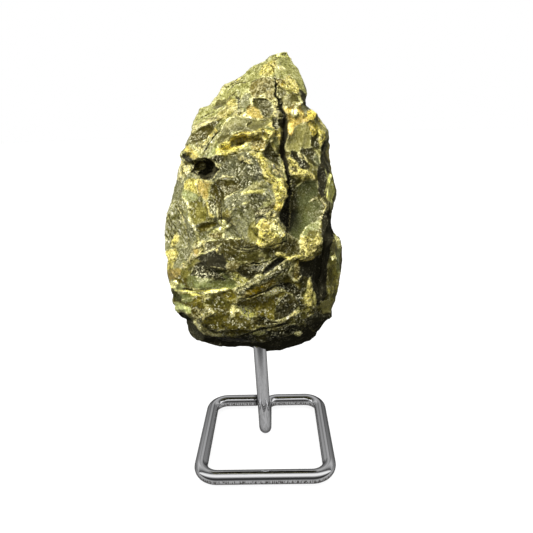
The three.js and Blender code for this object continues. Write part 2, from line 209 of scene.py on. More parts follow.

# ---- the best face's panes, each laid over the ones before it ----
# Finish, tone, how far it stands out, and its outline, as column,row in photograph pixels.
# A pane's tone is partly the stone's own colour and partly painted light and shade.
PANES = {
    # what lies between the panes of each region
    "base_flank": ("grey", 1, 0,
        "180,163 191,170 213,182 221,200 222,240 200,240 196,256 178,270 164,262 163,225 171,200 176,175"),
    "base_face": ("grey", 0.76, 0,
        "222,160 232,153 250,150 262,156 270,175 280,200 262,216 256,244 222,240 210,225 208,185"),
    "base_crown": ("olive", 0.9, 0,
        "277,80 300,90 307,110 320,122 330,140 330,200 322,240 300,262 288,240 292,200 286,150"),
    "base_lower": ("umber", 1.5, 0,
        "178,270 196,254 214,249 300,248 306,262 306,300 322,312 300,322 262,326 214,334 196,320 172,301 "
        "170,286"),
    # the summit and the long upper left slope
    "upper_slope": ("pale", 0.98, 0,
        "184,138 190,122 200,105 212,98 224,80 241,74 254,62 270,54 285,50 277,60 276,74 268,84 256,97 "
        "241,98 228,98 226,106 218,114 204,124 193,132"),
    "summit_right": ("summit", 1, 0.1,
        "277,59 285,50 294,58 302,70 309,90 302,92 298,86 292,76 284,79 277,78 275,70"),
    "tip": ("pale", 1.4, 0.1, "276,56 279,52 283,50 288,50 292,57 286,57 280,57"),
    "ridge_rind": ("yellow", 1, 0.3, "262,68 268,62 276,59 276,66 273,74 267,76 260,74"),
    "slope_chip": ("yellow", 1, 0.3, "234,80 238,76 242,76 241,80 236,82"),
    "summit_speck": ("cream", 1, 0.2, "278,65 281,65 285,68 283,70 279,68"),
    "summit_crust": ("yellow", 0.88, 0.3,
        "283,83 287,81 286,76 290,74 292,78 296,81 298,85 299,89 298,94 294,93 290,90 286,89 281,86"),
    "summit_band": ("amber", 1.25, 0.1, "274,80 280,79 286,80 287,83 281,86 277,85"),
    "olive_ridge": ("ochre", 0.57, 0.1,
        "252,82 262,77 270,76 275,80 274,86 268,88 266,92 258,97 252,97 249,91"),
    "olive_lump": ("ochre", 0.62, 0.5, "265,93 268,89 272,87 275,90 275,97 270,101 266,97"),
    "slope_pane": ("olive", 0.72, -0.4, "213,106 215,102 219,99 226,99 225,103 222,107 217,109"),
    "slope_nick": ("umber", 0.6, -0.5, "233,93 237,96 240,98 241,104 240,108 237,105 237,99"),
    "slope_grey": ("grey", 1, -0.1, "241,98 246,92 251,92 252,98 249,103 246,107 241,108 239,103"),
    "slope_knob": ("yellow", 0.83, 0.9,
        "227,101 230,98 233,98 236,102 238,107 235,110 231,113 226,118 219,118 217,113 221,110 226,108 "
        "226,104"),
    "orange_wedge": ("orange", 1.05, 0.3, "245,118 247,110 250,102 255,105 259,110 264,119 255,119"),
    "wedge_tip": ("rim", 1.1, 0.4, "249,98 252,99 255,105 252,106 250,103"),
    "upper_dark": ("olive", 0.53, -0.3,
        "252,101 254,98 263,98 267,99 272,103 274,110 271,115 268,118 264,117 261,112 257,107 254,105"),
    "lower_dark": ("dark", 0.4, -0.6, "270,117 275,117 279,120 280,126 277,129 273,126 271,122"),
    "crack_cream": ("cream", 0.72, 0.1, "272,103 275,101 279,105 277,109 279,113 276,117 272,115 274,110"),
    # the left shoulder and the cap
    "shoulder_edge": ("cream", 0.9, 0.2, "190,133 193,126 200,121 213,116 222,116 213,121 202,126"),
    "shoulder_pane": ("umber", 1, -0.6,
        "190,138 193,133 198,129 205,125 212,121 221,118 219,122 214,127 210,133 207,139 198,142 192,141"),
    "shoulder_cream": ("cream", 0.7, 0, "193,142 203,141 209,139 206,143 204,149 200,150 196,148"),
    "shoulder_streaks": ("streaky", 1.22, -0.2,
        "203,151 205,145 209,140 213,136 217,131 219,128 222,130 220,136 217,140 214,145 212,151 207,154"),
    "notch_lip": ("ochre", 1, 0.4, "183,149 187,145 193,148 198,153 199,158 194,160 189,155"),
    "notch": ("black", 1, -0.8, "180,156 184,152 188,153 192,158 194,161 189,162 184,160"),
    "cap_rim": ("cream", 1, 0.3,
        "232,114 236,111 242,112 248,116 256,118 266,118 271,121 264,120 250,119 240,117"),
    "cap": ("smooth", 0.86, 0.7,
        "219,130 222,124 226,119 233,116 243,117 250,118 257,119 266,120 270,122 266,126 256,129 250,130 "
        "244,129 238,131 232,132 226,135 221,134"),
    "cap_brown": ("tan", 1, 0, "252,119 266,120 270,122 266,126 256,129 250,129 247,125"),
    "under_cap": ("ochre", 1.15, -0.7,
        "229,138 233,133 240,131 247,131 254,132 255,139 250,142 247,144 236,145 230,144"),
    "under_cap_dark": ("amber", 1, -0.6, "230,141 237,143 246,140 248,142 241,145 231,145"),
    "shelf_pale": ("mint", 1.1, 0.1, "206,158 210,152 216,146 219,141 218,148 217,154 223,155 211,158"),
    "cap_low": ("olive", 0.7, -0.2, "218,141 221,134 226,135 232,133 229,138 226,140 220,145"),
    "yellow_shelf": ("yellow", 1.45, 0.6,
        "216,153 217,148 220,144 226,140 230,141 231,146 238,146 248,143 249,145 240,148 234,152 228,155 "
        "221,155"),
    "yellow_chunk": ("yellow", 1.1, 0.4,
        "250,131 256,130 260,127 265,128 270,130 278,130 280,134 272,137 266,140 266,150 258,152 252,147 "
        "254,138"),
    "chunk_amber": ("amber", 1, 0.3, "252,140 258,137 266,141 266,148 258,151 252,147"),
    "chunk_nook": ("umber", 1.6, -0.4, "260,128 264,131 269,136 271,140 266,138 262,134"),
    "middle_wedge": ("dark", 0.75, -0.8,
        "264,153 267,147 270,141 274,147 279,155 282,163 286,171 285,175 279,166 272,160 267,158"),
    "wedge_strip": ("cream", 0.66, -0.1, "271,160 276,163 281,168 285,174 284,178 279,176 274,172"),
    # right of the long crack
    "crown_left": ("umber", 1.3, -0.2, "286,149 293,151 292,157 288,160 286,155"),
    "crown_grey": ("olive", 0.68, -0.2,
        "278,92 284,89 288,92 291,96 294,95 300,97 298,101 293,101 292,107 284,108 281,104 279,98"),
    "crown_specks": ("cream", 0.7, 0.1, "284,97 288,93 292,94 290,98 287,99"),
    "crown_wedge": ("orange", 1.38, 0.1,
        "283,107 292,106 294,101 300,101 303,108 306,116 308,121 303,122 298,124 294,127 292,133 290,137 "
        "288,133 287,124 284,114"),
    "wedge_marbling": ("rim", 1.25, 0.1,
        "290,113 292,110 294,108 295,101 300,101 299,106 297,110 299,113 298,117 295,116 294,119 292,116"),
    "crown_strip": ("grey", 1.75, -0.3, "298,96 303,103 307,107 307,112 305,115 302,107"),
    "crown_edge": ("black", 1, -0.7, "299,89 303,90 307,96 307,106 303,104 301,96"),
    "crown_knob": ("ochre", 1.55, 0.3, "306,111 311,108 316,111 319,116 314,119 310,121 307,119"),
    "crown_shadow": ("umber", 1.9, -0.4, "312,119 318,115 322,121 319,127 316,131 313,125"),
    "crown_olive": ("ochre", 1.15, 0, "307,122 311,120 315,129 316,134 313,137 310,134 309,127"),
    "smooth_pane": ("tan", 1.3, -0.3,
        "290,137 292,133 296,127 301,124 307,123 309,128 310,136 312,142 313,149 304,151 292,151 286,147 "
        "288,141"),
    "right_rubble": ("dark", 0.8, -0.3, "311,138 316,134 319,128 322,143 323,149 314,150"),
    "right_rim": ("bark", 3.4, 0.2,
        "321,121 325,125 328,132 328,138 325,141 322,146 319,138 318,130 319,125"),
    "right_edge": ("shadow", 0.3, -0.3,
        "325,141 331,135 331,158 333,170 329,186 328,195 323,198 319,188 318,172 320,160 325,152 322,147"),
    "right_gap": ("shadow", 0.9, -0.3, "324,198 328,195 331,203 332,212 327,214 328,207 326,201"),
    "right_olive": ("olive", 0.46, -0.1,
        "303,147 314,147 319,151 322,156 320,165 316,166 311,162 307,156 302,151"),
    "olive_mint": ("mint", 0.6, 0.1, "315,157 319,153 321,157 320,165 317,165"),
    "dark_wedge": ("umber", 0.28, -0.5,
        "293,150 300,151 303,155 307,160 312,165 311,168 303,169 297,163 292,157"),
    "wedge_edge": ("cream", 0.85, 0.2, "300,152 307,155 309,161 305,159 301,155"),
    "right_crust": ("yellow", 1, 0.4,
        "288,158 292,156 296,160 300,165 303,169 308,170 312,172 316,177 316,181 311,178 306,177 304,182 "
        "301,177 297,177 293,174 290,171 290,165"),
    "crust_amber": ("amber", 0.5, -0.1, "292,167 295,165 298,167 299,171 295,171"),
    # the smooth scar low on the right
    "over_scar": ("dark", 0.95, -0.4, "290,176 297,178 303,181 298,185 295,190 291,193 289,185"),
    "scar": ("moss", 0.95, 0,
        "294,190 297,186 302,182 307,180 312,179 318,181 319,188 321,196 323,203 323,209 321,214 318,220 "
        "312,222 305,227 301,234 298,240 293,239 287,233 284,226 287,216 291,206"),
    # painted shadow in the gulf beside the long crack
    "gulf_shadow": ("black", 1, -2.6,
        "287,180 291,183 293,190 293,197 291,205 290,216 289,226 285,226 281,222 279,217 280,212 285,203 "
        "288,196 289,188"),
    "scar_chip": ("rim", 0.7, 0.3,
        "310.5,201 313,198 317,196 320.5,196.5 320.5,204 319,201 317,199 314,201"),
    "scar_rim": ("cream", 0.12, 0.3,
        "321,197 325,199 328,204 327,209 325,213 320,219 323,212 325,207 323,202"),
    "scar_foot": ("mint", 1, 0.1,
        "302,236 303,231 307,226 311,222 316,220 320,219 318,230 309,230 305,235"),
    "scar_crust": ("yellow", 0.87, 0.5,
        "298,243 300,237 304,236 308,236 311,240 314,238 318,233 320,238 321,245 321,250 316,253 311,257 "
        "304,257 300,254 299,248"),
    "crust_foot": ("ochre", 0.9, 0.1, "297,258 304,257 312,256 319,251 318,255 310,260 302,261"),
    # painted shade down the stone's right side
    "right_shade_band": ("black", 1, -0.6,
        "321,218 325,211 329,209 331,215 332,223 334,232 332,250 329,262 328,275 327,292 324,301 318,306 "
        "314,300 312,288 310,278 304,275 297,266 300,261 310,260 318,255 322,248 321,232"),
    "right_shine": ("pale", 1.8, 0,
        "328,178 331,172 336,182 338,190 337,196 334,203 330,199 328,194 329,186"),
    "bulge": ("olive", 1.35, 0.1,
        "329,262 332,250 334,233 338,234 342,243 344,252 343,270 341,282 339,293 335,302 330,299 328,286 "
        "328,275"),
    "bulge_light": ("mint", 0.8, 0.1, "336,238 340,240 343,250 344,266 342,280 339,284 337,262 335,248"),
    "bulge_streak": ("rim", 1.4, 0.3, "334,235 337,234 340,239 341,246 338,248 336,243"),
    "bulge_speck": ("rim", 2.6, 0.3, "331,256 335,253 337,258 333,260"),
    "bulge_foot": ("tan", 1.35, 0.1, "321,301 328,299 334,300 333,309 328,312 323,313"),
    # the pit and the left flank
    "shelf_under": ("umber", 0.45, 0, "209,158 213,155 220,154 226,155 224,160 219,163 214,161"),
    # painted shade in the pit
    "pit": ("black", 2.2, -1.9,
        "190,160 196,159 203,158 209,158 213,161 216,166 221,169 217,172 213,178 208,181 203,180 200,175 "
        "196,173 191,172 193,167"),
    "pit_brown": ("umber", 1.4, -1.8, "192,160 203,160 204,166 199,172 194,168"),
    "pit_speck": ("rim", 0.85, 0.4, "213,161 218,163 223,165 218,168 215,166"),
    "flank_edge": ("cream", 0.92, 0, "179,163 189,162 191,170 186,176 181,181 176,178"),
    "flank_yellow": ("yellow", 1.05, 0.4,
        "185,181 191,177 197,178 202,178 207,180 213,181 211,188 208,191 209,196 207,201 203,197 196,195 "
        "188,195 183,190"),
    "flank_orange": ("orange", 1, 0.1,
        "199,179 206,181 211,183 209,188 209,194 207,200 203,196 199,192 198,185"),
    "flank_mint": ("mint", 1.1, 0.1, "182,188 190,190 198,194 197,200 190,201 183,197"),
    "flank_olive": ("olive", 1.1, -0.3,
        "190,201 200,200 206,203 207,212 212,218 214,221 203,222 196,224 190,220 189,210"),
    "left_streaks": ("streaky", 1.15, -0.1,
        "167,214 170,201 176,200 182,200 186,210 184,220 178,222 172,220"),
    "left_low": ("streaky", 1.05, -0.2,
        "163,236 165,222 172,215 180,218 184,226 188,236 186,246 176,248 168,242"),
    "left_spot": ("yellow", 1.25, 0.3, "173,237 176,232 179,235 178,241 175,245 171,246"),
    "yellow_stripe": ("yellow", 1, 0.3,
        "206.5,201 209,202 210,211 212,213 215,216 213,218 210,217 208,211"),
    "cream_stripe": ("cream", 1, 0.3, "217,201 219,201 220,219 218,217"),
    # the large face
    "face_top": ("grey", 0.74, 0,
        "222,167 226,160 236,154 244,151 250,152 255,156 262,163 264,172 258,180 250,182 242,184 236,178 "
        "228,176 221,172"),
    "face_chips": ("cream", 0.55, 0.4, "238,156 243,155 247,158 251,159 252,163 248,164 243,161 239,160"),
    "face_dark": ("umber", 1, -0.4,
        "210,192 213,184 217,179 222,178 232,180 240,181 242,186 238,190 232,193 226,197 222,201 221,210 "
        "222,217 219,219 217,205 214,197"),
    "face_streak": ("cream", 0.88, 0.3, "219,178 223,175 230,175 236,176 232,178 224,179"),
    "face_middle": ("grey", 0.83, 0,
        "226,198 232,194 243,192 264,192 264,200 258,206 247,207 236,208 228,212 223,206"),
    "face_low": ("grey", 1.02, -0.1,
        "231,208 252,206 256,212 255,222 250,229 246,237 232,238 225,232 232,222"),
    "face_lump": ("umber", 1.4, 0.2, "222,212 228,208 231,213 231,219 226,225 222,221"),
    "lump_cream": ("rim", 1.5, 0.5, "218,219 224,219 228,222 226,227 220,225"),
    "face_wedge": ("wax", 0.62, 0.4, "242,192.5 249,186 256,182.5 264,179.5 265,192.5"),
    "wedge_foot": ("wax", 1.15, 0.5, "243,193 250,190 258,188.5 265,188.5 265,193"),
    "face_scratch": ("rim", 1.1, 0.2, "241,205 245,202 250,201 247,204"),
    "column_sparkle": ("sparkle", 1.2, -0.2, "209,196 215,196 217,210 212,212 209,204"),
    "face_hollow": ("umber", 1.4, -0.6, "197,227 203,223 210,221 217,221 217,225 211,227 206,230 199,232"),
    "hollow_rim": ("rim", 1.15, 0.6, "212,230 219,226 224,226 231,223 232,225 227,229 222,232 216,232"),
    "rim_amber": ("amber", 0.7, 0, "207,235 212,232 221,232 222,236 218,238 213,238"),
    "rim_line": ("rim", 1, 0.3, "223,232 225,233 223,240 220,246 217,246 221,239"),
    # the yellow ridge beside the crack, and the knob below it
    "ridge_crust": ("yellow", 1.12, 0.7,
        "250,152 256,150 262,153 267,158 270,168 272,173 277,178 283,177 287,180 289,185 289,192 288,197 "
        "284,203 280,211 275,210 274,206 277,200 275,196 271,190 266,181 262,168 257,158"),
    "ridge_tan": ("grey", 1.1, 0.2, "264,185 268,182 272,185 275,192 277,197 273,201 269,198 265,191"),
    "face_corner": ("grey", 1.45, 0, "257,209 264,201 270,202 276,198 273,204 266,207 260,209"),
    "striped_column": ("olive", 1.1, 0, "248,229 252,222 256,220 257,230 256,238 256,243 250,241 247,236"),
    "ridge_foot": ("ochre", 1.15, 0.3, "274,207 277,201 281,201 284,204 281,210 277,211"),
    "knob_lip": ("ochre", 0.3, 0.2,
        "254,214 257,210 262,207 268,206 273,202 277,200 273,208 268,213 262,215"),
    "lip_slot": ("black", 1, -0.6, "254,216 262,215 267,216 262,218 256,218"),
    "white_lump": ("cream", 0.85, 0.5, "268,216 273,212 279,213 280,216 276,220 271,219"),
    "knob": ("yellow", 1.15, 0.6,
        "256,244 257,236 258,230 256,226 259,220 264,218 270,219 275,220 279,224 283,230 285,234 281,238 "
        "281,245 279,250 272,250 266,247 262,249 257,248"),
    "knob_amber": ("ochre", 0.95, 0.7, "262,222 270,220 271,227 266,230 261,228"),
    "knob_white": ("rim", 1.3, 1.1, "272,221 279,226 283,233 279,237 273,232 270,226"),
    "scar_line": ("cream", 1, 0.2, "283,229 288,233 293,237 292,239 287,236"),
    # the overhang below the large face
    "overhang": ("umber", 0.9, 0.1,
        "196,254 202,248 206,241 222,238 242,238 252,243 262,246 275,248 281,244 287,239 295,240 299,244 "
        "300,251 292,254 282,251 272,257 255,262 240,262 226,260 212,257"),
    "overhang_olive": ("olive", 0.7, 0.2,
        "232,259 238,253 250,250 262,250 272,254 262,259 248,261 238,261"),
    # painted shade below the overhang: its left part, its dark part and the dark gap
    "overhang_left": ("black", 1.2, -0.2, "196,257 206,251 214,250 222,253 226,260 212,259 200,262"),
    "overhang_dark": ("black", 1.2, -0.3,
        "196,262 205,259 213,258 226,260 231,265 225,269 216,266 206,265 199,266"),
    "dark_gap": ("umber", 0.22, -0.7, "238,264 254,264 264,265 264,272 256,277 248,279 242,276 236,270"),
    "speck_band": ("sparkle", 2.1, 0.1,
        "222,271 228,269 236,272 246,278 251,281 244,285 236,288 231,283 226,278"),
    "left_gap": ("olive", 1, 0, "179,269 190,262 196,258 200,260 194,265 191,270 188,277 183,279 180,274"),
    "rubble": ("cream", 0.78, 0.3,
        "176,269 181,264 187,259 190,252 193,246 195,240 202,238 206,242 204,249 197,256 190,262 184,267"),
    "rubble_orange": ("orange", 1, 0.2, "192,252 194,247 198,247 198,252 195,254"),
    "rubble_right": ("cream", 0.12, 0.3, "213,247 217,245 221,249 220,253 216,252"),
    "under_lines": ("pale", 1.3, 0.2, "254,263 262,260 272,257 272,260 264,262 257,264"),
    "under_cream": ("cream", 0.9, 0.5, "257,254 262,252 265,255 262,258 258,257"),
    "ledge": ("yellow", 1.15, 0.9,
        "274,254 277,251 282,252 286,254 290,257 295,255 300,253 302,257 297,259 290,261 284,259 278,257"),
    "ledge_shadow": ("black", 0.5, -2.4,
        "260,275 263,270 267,265 273,260 280,257 287,258 281,263 275,267 269,271 264,275"),
    "diamond": ("ochre", 0.5, 0.4, "225,265.5 229,261.5 233,260 241,263 239,267 232,271 227,268.5"),
    "olive_pane": ("olive", 0.7, 0.1,
        "272,274 277,267 283,262 290,260 293,264 291,270 290,275 286,279 279,282 272,283"),
    # the left edge and the low scar with its bright lip
    "left_yellow": ("yellow", 0.95, 0.3, "163,250 168,249 176,248 178,254 174,261 172,268 167,269 164,258"),
    "left_orange": ("orange", 0.9, 0.2, "165,270 173,268 178,267 181,270 180,274 175,277 170,280 166,276"),
    "left_cream": ("rim", 1.6, 0.1, "168,282 176,279 179,282 175,287 171,288"),
    "left_moss": ("mint", 1.05, -0.1, "172,291 176,285 181,282 186,286 182,290"),
    "low_scar": ("moss", 1.2, 0,
        "187,285 186,279 189,273 193,268 199,265 208,265 218,268 226,272 231,277 236,281 237,285 230,288.5 "
        "215,288.5 200,288.5 192,287.5"),
    "scar_sparkle": ("sparkle", 0.42, 0,
        "189,274 194,268 199,265 207,265 214,269 222,275 226,280 214,279 202,277"),
    "bright_lip": ("wax", 1.5, 0.5,
        "173,290 181,289 188,289 197,288.5 208,289 217,288.5 224,287.5 229,287 225,290.5 214,293.5 "
        "203,294.5 194,294 184,292"),
    "lip_shadow": ("umber", 1.85, -0.5,
        "173,292 182,293 189,294 196,296 207,295 220,294 228,292 236,291 240,296 230,300 222,297 208,297 "
        "199,300 191,302 182,302 175,299"),
    "dark_green": ("moss", 1.2, -0.2, "173,293 180,293 188,294 194,296 193,300 184,302 175,299"),
    "under_rib_pane": ("umber", 1.75, 0,
        "246,299 258,294 270,296 280,292 286,292 279,298 275,304 273,312 274,320 266,322 262,318 256,314 "
        "253,308 248,305"),
    "rib": ("sparkle", 1.05, 0.6,
        "234,290 240,285 248,280 256,277 264,274 272,270 280,265 288,260 292,261 290,266 283,272 276,277 "
        "268,281 258,285 248,290 240,293"),
    "rib_under": ("amber", 1, 0.2,
        "240,297 241,293 248,289 258,284 268,280 274,277 276,282 268,287 258,292 248,297"),
    "hook": ("amber", 1, 0.2, "292,265 298,261 301,266 300,272 302,276 299,280 292,279 289,274"),
    "yellow_strip": ("yellow", 1, 0.2,
        "308.5,279 311,277 312,283 312.5,292 312.5,303 311,309 307,310.5 305,306 304.5,301 303,297 306,292 "
        "307.5,285"),
    "strip_side": ("tan", 1.5, -0.2, "313,290 316,293 317,303 315,306 313,299"),
    # the foot
    "foot_mint": ("mint", 1.4, 0.2, "172,301 178,301 184,304 191,308 195,313 188,312 180,310 175,311"),
    "foot_amber": ("amber", 0.6, 0, "190,309 195,307 201,308 201,312 198,317 193,318 190,314"),
    "foot_facet": ("dark", 1.2, 0, "203,304 206,297 213,295 224,297 229,301 228,307 218,305"),
    "foot_white": ("cream", 0.95, 0.2, "200,314 201,310 205,307 210,308 213,311 210,315 205,316 202,319"),
    "foot_brown": ("umber", 1.3, 0,
        "205,321 209,316 216,310 228,309 234,316 246,318 256,314 262,320 254,331 238,333 222,333 212,332"),
    "foot_cream": ("cream", 1.25, 0.4,
        "229,312 230,304 234,302 238,306 244,310 241,312 236,310 233,313 231,317"),
    "foot_sparkle": ("sparkle", 3.5, 0.1, "240,306 247,307 253,313 251,319 245,316 240,312"),
    "foot_crust": ("cream", 1.5, 0.4,
        "261,294 265,290 269,290 274,287 280,286 286,289 286,291 279,291 274,294 267,295"),
    "foot_right": ("dark", 0.28, -0.2,
        "276,285 283,281 289,281 296,284 300,290 300,298 303,306 301,310 298,309 296,300 291,293 285,289"),
    "foot_pane": ("umber", 0.36, 0.2,
        "273,312 276,303 280,297 286,292 292,294 297,302 299,308 290,314 283,319 275,320"),
    "pane_edge": ("cream", 1, 0.4,
        "274,321 283,317 290,313 299,308 298,311 290,316 282,322 276,325 270,325"),
    "foot_grey": ("dark", 1, -0.2, "283,322 292,316 300,311 305,311 305,317 302,325 295,323"),
    "foot_lip": ("cream", 1.3, 0.6,
        "192,318 197,318 202,323 206,328 213,332 222,333 222,336 211,336 205,335 200,330 195,323"),
    # painted shade underneath: the underside and the band above it
    "underside": ("black", 1, -0.5,
        "174,311 182,312 188,316 194,323 200,330 206,335 214,336 232,336 242,334 252,331 262,326 272,326 "
        "284,322 296,324 306,324 318,316 326,314 334,310 334,322 322,334 312,343 292,352 262,354 214,350 "
        "186,341 182,322"),
    "under_band": ("dark", 0.36, -0.2,
        "214,336 240,337 262,330 290,324 306,326 300,332 280,338 262,342 240,342 222,340"),
    "under_right": ("shadow", 0.6, 0, "305,318 314,312 322,313 330,311 330,318 322,324 314,330 306,324"),
    "foot_shadow": ("umber", 0.25, -0.3, "247,317 262,315 272,320 281,321 268,325 258,325"),
    "tan_spot": ("rim", 1.4, 0.5, "293,334 296,331 301,330 302,333 299,336 295,336"),
    "under_glint": ("pale", 1, 0.1, "253,333 260,331 266,332 262,334 256,335"),
}

# ---- long narrow breaks: finish, depth, and a line of column,row,half width in photograph pixels ----
# Those with a depth below 0 stand out. The black and umber ones darken cracks and creases as painted shade;
# the pale ones that stand out are partly pale crust and partly painted highlight along ridges.
BREAKS = {
    "long_crack": ("black", 2.2,
        "276,78,0.6 276,88,1 275.5,95,1.2 279,101,2 281,108,2.8 283,115,3.8 284.5,125,4.4 284.5,136,4.2 "
        "284,146,3.6 285.5,156,3.6 288,165,3 289.5,174,2.6 290,182,2.6"),
    "summit_crack": ("amber", 0.5, "277,60,0.4 276,66,0.7 274.5,72,0.5"),
    "slope_crease": ("umber", 0.4, "228,92,0.4 236,84,0.7 246,81.5,0.5 252,79.5,0.3"),
    "slope_crease_2": ("umber", 0.4, "226,88,0.3 233,83,0.6 242,79,0.5 246,74,0.3"),
    "shoulder_crease": ("black", 0.7, "204,152,0.5 208,144,0.8 213,137,0.7 218,131,0.5"),
    "left_crease": ("umber", 0.5, "176,202,0.4 180,210,0.6 184,220,0.7 187,232,0.8 189,241,0.5"),
    "shadow_under_overhang": ("black", 0.9, "243,263.5,0.6 256,263,0.9 266,261,0.7 276,257,0.5"),
    "rib_line": ("black", 0.5, "240,298,0.4 250,297,0.8 264,291,0.8 278,284,0.5"),
    "face_left_edge": ("black", 0.5, "221,200,0.4 221,210,0.8 221.5,222,0.6"),
    "lump_side": ("umber", 0.4, "232,206,0.4 231,218,0.8 225,226,0.4"),
    "face_crease": ("umber", 0.4, "222,198,0.4 230,194,0.8 242,187,0.5"),
    "slope_crease_3": ("umber", 0.4, "214,117,0.3 206,120,0.6 197,124,0.4"),
    "slope_crease_4": ("umber", 0.4, "216,111,0.3 208,113,0.6 201,117,0.4"),
    "slope_crease_5": ("umber", 0.3, "224,104,0.3 230,96,0.5 238,90,0.4"),
    "cap_edge": ("rim", -0.3, "220,131,0.4 224,123,0.7 231,117,0.6 240,115,0.5"),
    "rib_top": ("rim", -0.2, "240,286,0.4 250,280,0.6 262,274,0.6 271,272,0.4"),
    "foot_arc": ("olive", -0.2, "274,312,0.4 277,303,0.6 284,295,0.6 291,292,0.4"),
    "overhang_edge": ("rim", -0.3, "199,254,0.4 207,251,0.7 215,248,0.6 221,243,0.5"),
    "face_foot_line": ("rim", -0.2, "224,239,0.3 234,237.5,0.6 246,238,0.4"),
    "flank_ridge": ("rim", -0.5,
        "183,197,1 188,203,1.6 189,212,1.3 190,220,1.6 195,229,1.9 198,238,1.6 199,246,2.2"),
    "left_line": ("cream", -0.3, "177,207,0.5 181,213,1.2 184,220,1.1 186,228,0.6"),
    "scar_rim_line": ("cream", -0.2, "322,198,0.5 325.5,202,0.9 326.5,206,0.8 324.5,212,0.5 321,219,0.3"),
    "shelf_foot": ("umber", 0.4, "233,154,0.5 242,150,1.6 252,149.5,1.8 260,152,0.8"),
    "lip_line": ("rim", -0.15, "176,290.5,0.5 190,291.5,1 205,292.3,1.3 218,291.2,1.3 228,288.5,0.6"),
    "hook_line": ("rim", -0.5, "296,262,1.1 292,267,1.5 290,273,1.8 293,279,1.8 299,280.5,1.6 302,276,1.2"),
    "band_line": ("pale", -0.15, "331,246,0.4 331,254,0.9 330,264,0.5"),
    "band_line_2": ("cream", -0.15, "328.5,270,0.4 328.5,275,0.8 329,281,0.4"),
    "edge_line": ("pale", -0.1, "327,168,0.4 328,182,0.8 326,193,0.4"),
    "left_crease_2": ("umber", 0.4, "168,214,0.3 172,222,0.6 170,234,0.5 167,242,0.4"),
}

# ---- painted shade and painted highlights: soft darker or brighter stretches: tone, and a line as above ----
PAINTED_SHADING = {
    "shadow_beside_crack": (0.12, "292,186,5 294,196,8 293,206,9 289,218,10 287,229,5"),
    "shadow_under_overhang": (0.45, "246,268,6 252,268,7 266,264,7 282,259,4"),
    "shadow_under_hook": (0.45, "300,268,6 304,280,8 302,290,5"),
    "scar_shine": (1.15, "312,196,5 312,208,8 305,220,7 300,231,4"),
    "cap_shine": (1.3, "222,131,4 229,123,7 240,120,6"),
    "cap_shade": (0.75, "238,129,3 250,128,4 264,123,3"),
    "middle_shine": (1.12, "226,200,5 236,194,7 248,194,5"),
    "face_shade": (0.65, "258,160,5 262,170,7 256,178,5"),
    "low_scar_shine": (1.4, "196,284,3 212,285,5 230,286,3"),
    "low_scar_shade": (0.5, "190,268,4 204,265,6 220,269,5 232,276,3"),
    "bulge_shine": (1.35, "338,240,3 340,256,4 338,276,3"),
    "bulge_shade": (0.6, "331,268,4 332,284,6 334,296,4"),
    "ledge_shade": (0.25, "264,272,4 273,264,5 284,259,4"),
    "bottom_shade": (0.7, "188,326,6 214,342,8 250,344,8 290,342,10 318,326,8"),
}

# ---- the photograph's outline of the stone: row,left edge,right edge ----
OUTLINE = (
    "52,282,287 54,273,288.5 57,268,290.5 60.5,264,292.5 64,255,294.5 67,250.5,297 70,247,299 73,245,300 "
    "76,240.5,301.5 79,235,303 81.5,229,304 83.5,224,304.5 88,221,306 92,218.5,307 97,214.5,306.5 "
    "102,211,306 105,208,307 108,200,310 113,197.5,317 118,195,320 122,193,322.5 126,191.5,325.5 "
    "131,191,328 137,189,329.5 144,185,330 150,181.5,329 156,179.5,329.5 162,181,330.5 168,178.5,331.5 "
    "176,177,333 185,175,335.5 193,173,336.5 200,171.5,335.5 207,169,333.5 213,166.5,331.5 222,165.5,331 "
    "232,164.5,334 240,165,341 249,164.5,342 256,166,342 265,167,341.5 272,167,341 280,168.5,339.5 "
    "287,170.5,338.5 294,172,337 300,172,335.5 305,173.5,333.5 309,174.5,332 313,177,332 316.5,180,332 "
    "319,184,330 323,186,325 330,188,319 335,189.5,316.5"
)
TOP_ROW = 51.5
BOTTOM_ROW = 351.5
# The underside's lower edge: column,row. Only what lies lower than UNDERSIDE_FROM follows it.
UNDERSIDE = (
    "180,317 188,334 196,340.5 208,344 218,346.5 240,346.5 256,349.5 268,351.5 280,350.5 292,347.5 304,344 "
    "313,340.5 320,332.5 331,317"
)
UNDERSIDE_FROM = 318
UNDERSIDE_LEAST = 4  # where less than this many rows lie lower, nothing is moved
ROW_REACH = 1.0  # how near a row points count for the edges there
COLUMN_REACH = 3  # and how near a column for the underside there


def numbers_of(text):
    """The numbers of a line of spots, one row for each spot."""
    return np.array([[float(number) for number in spot.split(",")] for spot in text.split()])


def away_from(spots, start, end):
    """How far spots are from a straight, and at what share of its length each is nearest to it."""
    along = end - start
    offset = spots - start
    share = np.clip(offset @ along / (along @ along), 0, 1)
    return np.linalg.norm(offset - share[:, None] * along, axis=1), share


def inside_depth(spots, outline):
    """How deep each pixel lies inside an outline, in pixels, and less than nothing outside it."""
    nearest = np.full(len(spots), np.inf)
    crossings = np.zeros(len(spots), int)
    for a, b in zip(outline, np.roll(outline, -1, axis=0)):
        nearest = np.minimum(nearest, away_from(spots, a, b)[0])
        straddles = (a[1] > spots[:, 1]) != (b[1] > spots[:, 1])
        if straddles.any():
            slope = (b[0] - a[0]) / (b[1] - a[1])
            crossings += straddles & (spots[:, 0] < a[0] + slope * (spots[:, 1] - a[1]))
    return np.where(crossings % 2 == 1, nearest, -nearest)


def line_share(spots, line):
    """From 1 on the middle of a line that has half widths to 0 at its sides."""
    share = np.zeros(len(spots))
    for a, b in zip(line[:-1], line[1:]):
        away, along = away_from(spots, a[:2], b[:2])
        half = a[2] + along * (b[2] - a[2])
        share = np.maximum(share, np.clip(1 - away / half, 0, 1))
    return share


# ---- the stone's mesh ----
VOXEL = 0.76  # of the even mesh; the half that the photograph shows is then made twice as fine
MERGED = 0.001  # points of the CAD mesh that lie nearer than this are one


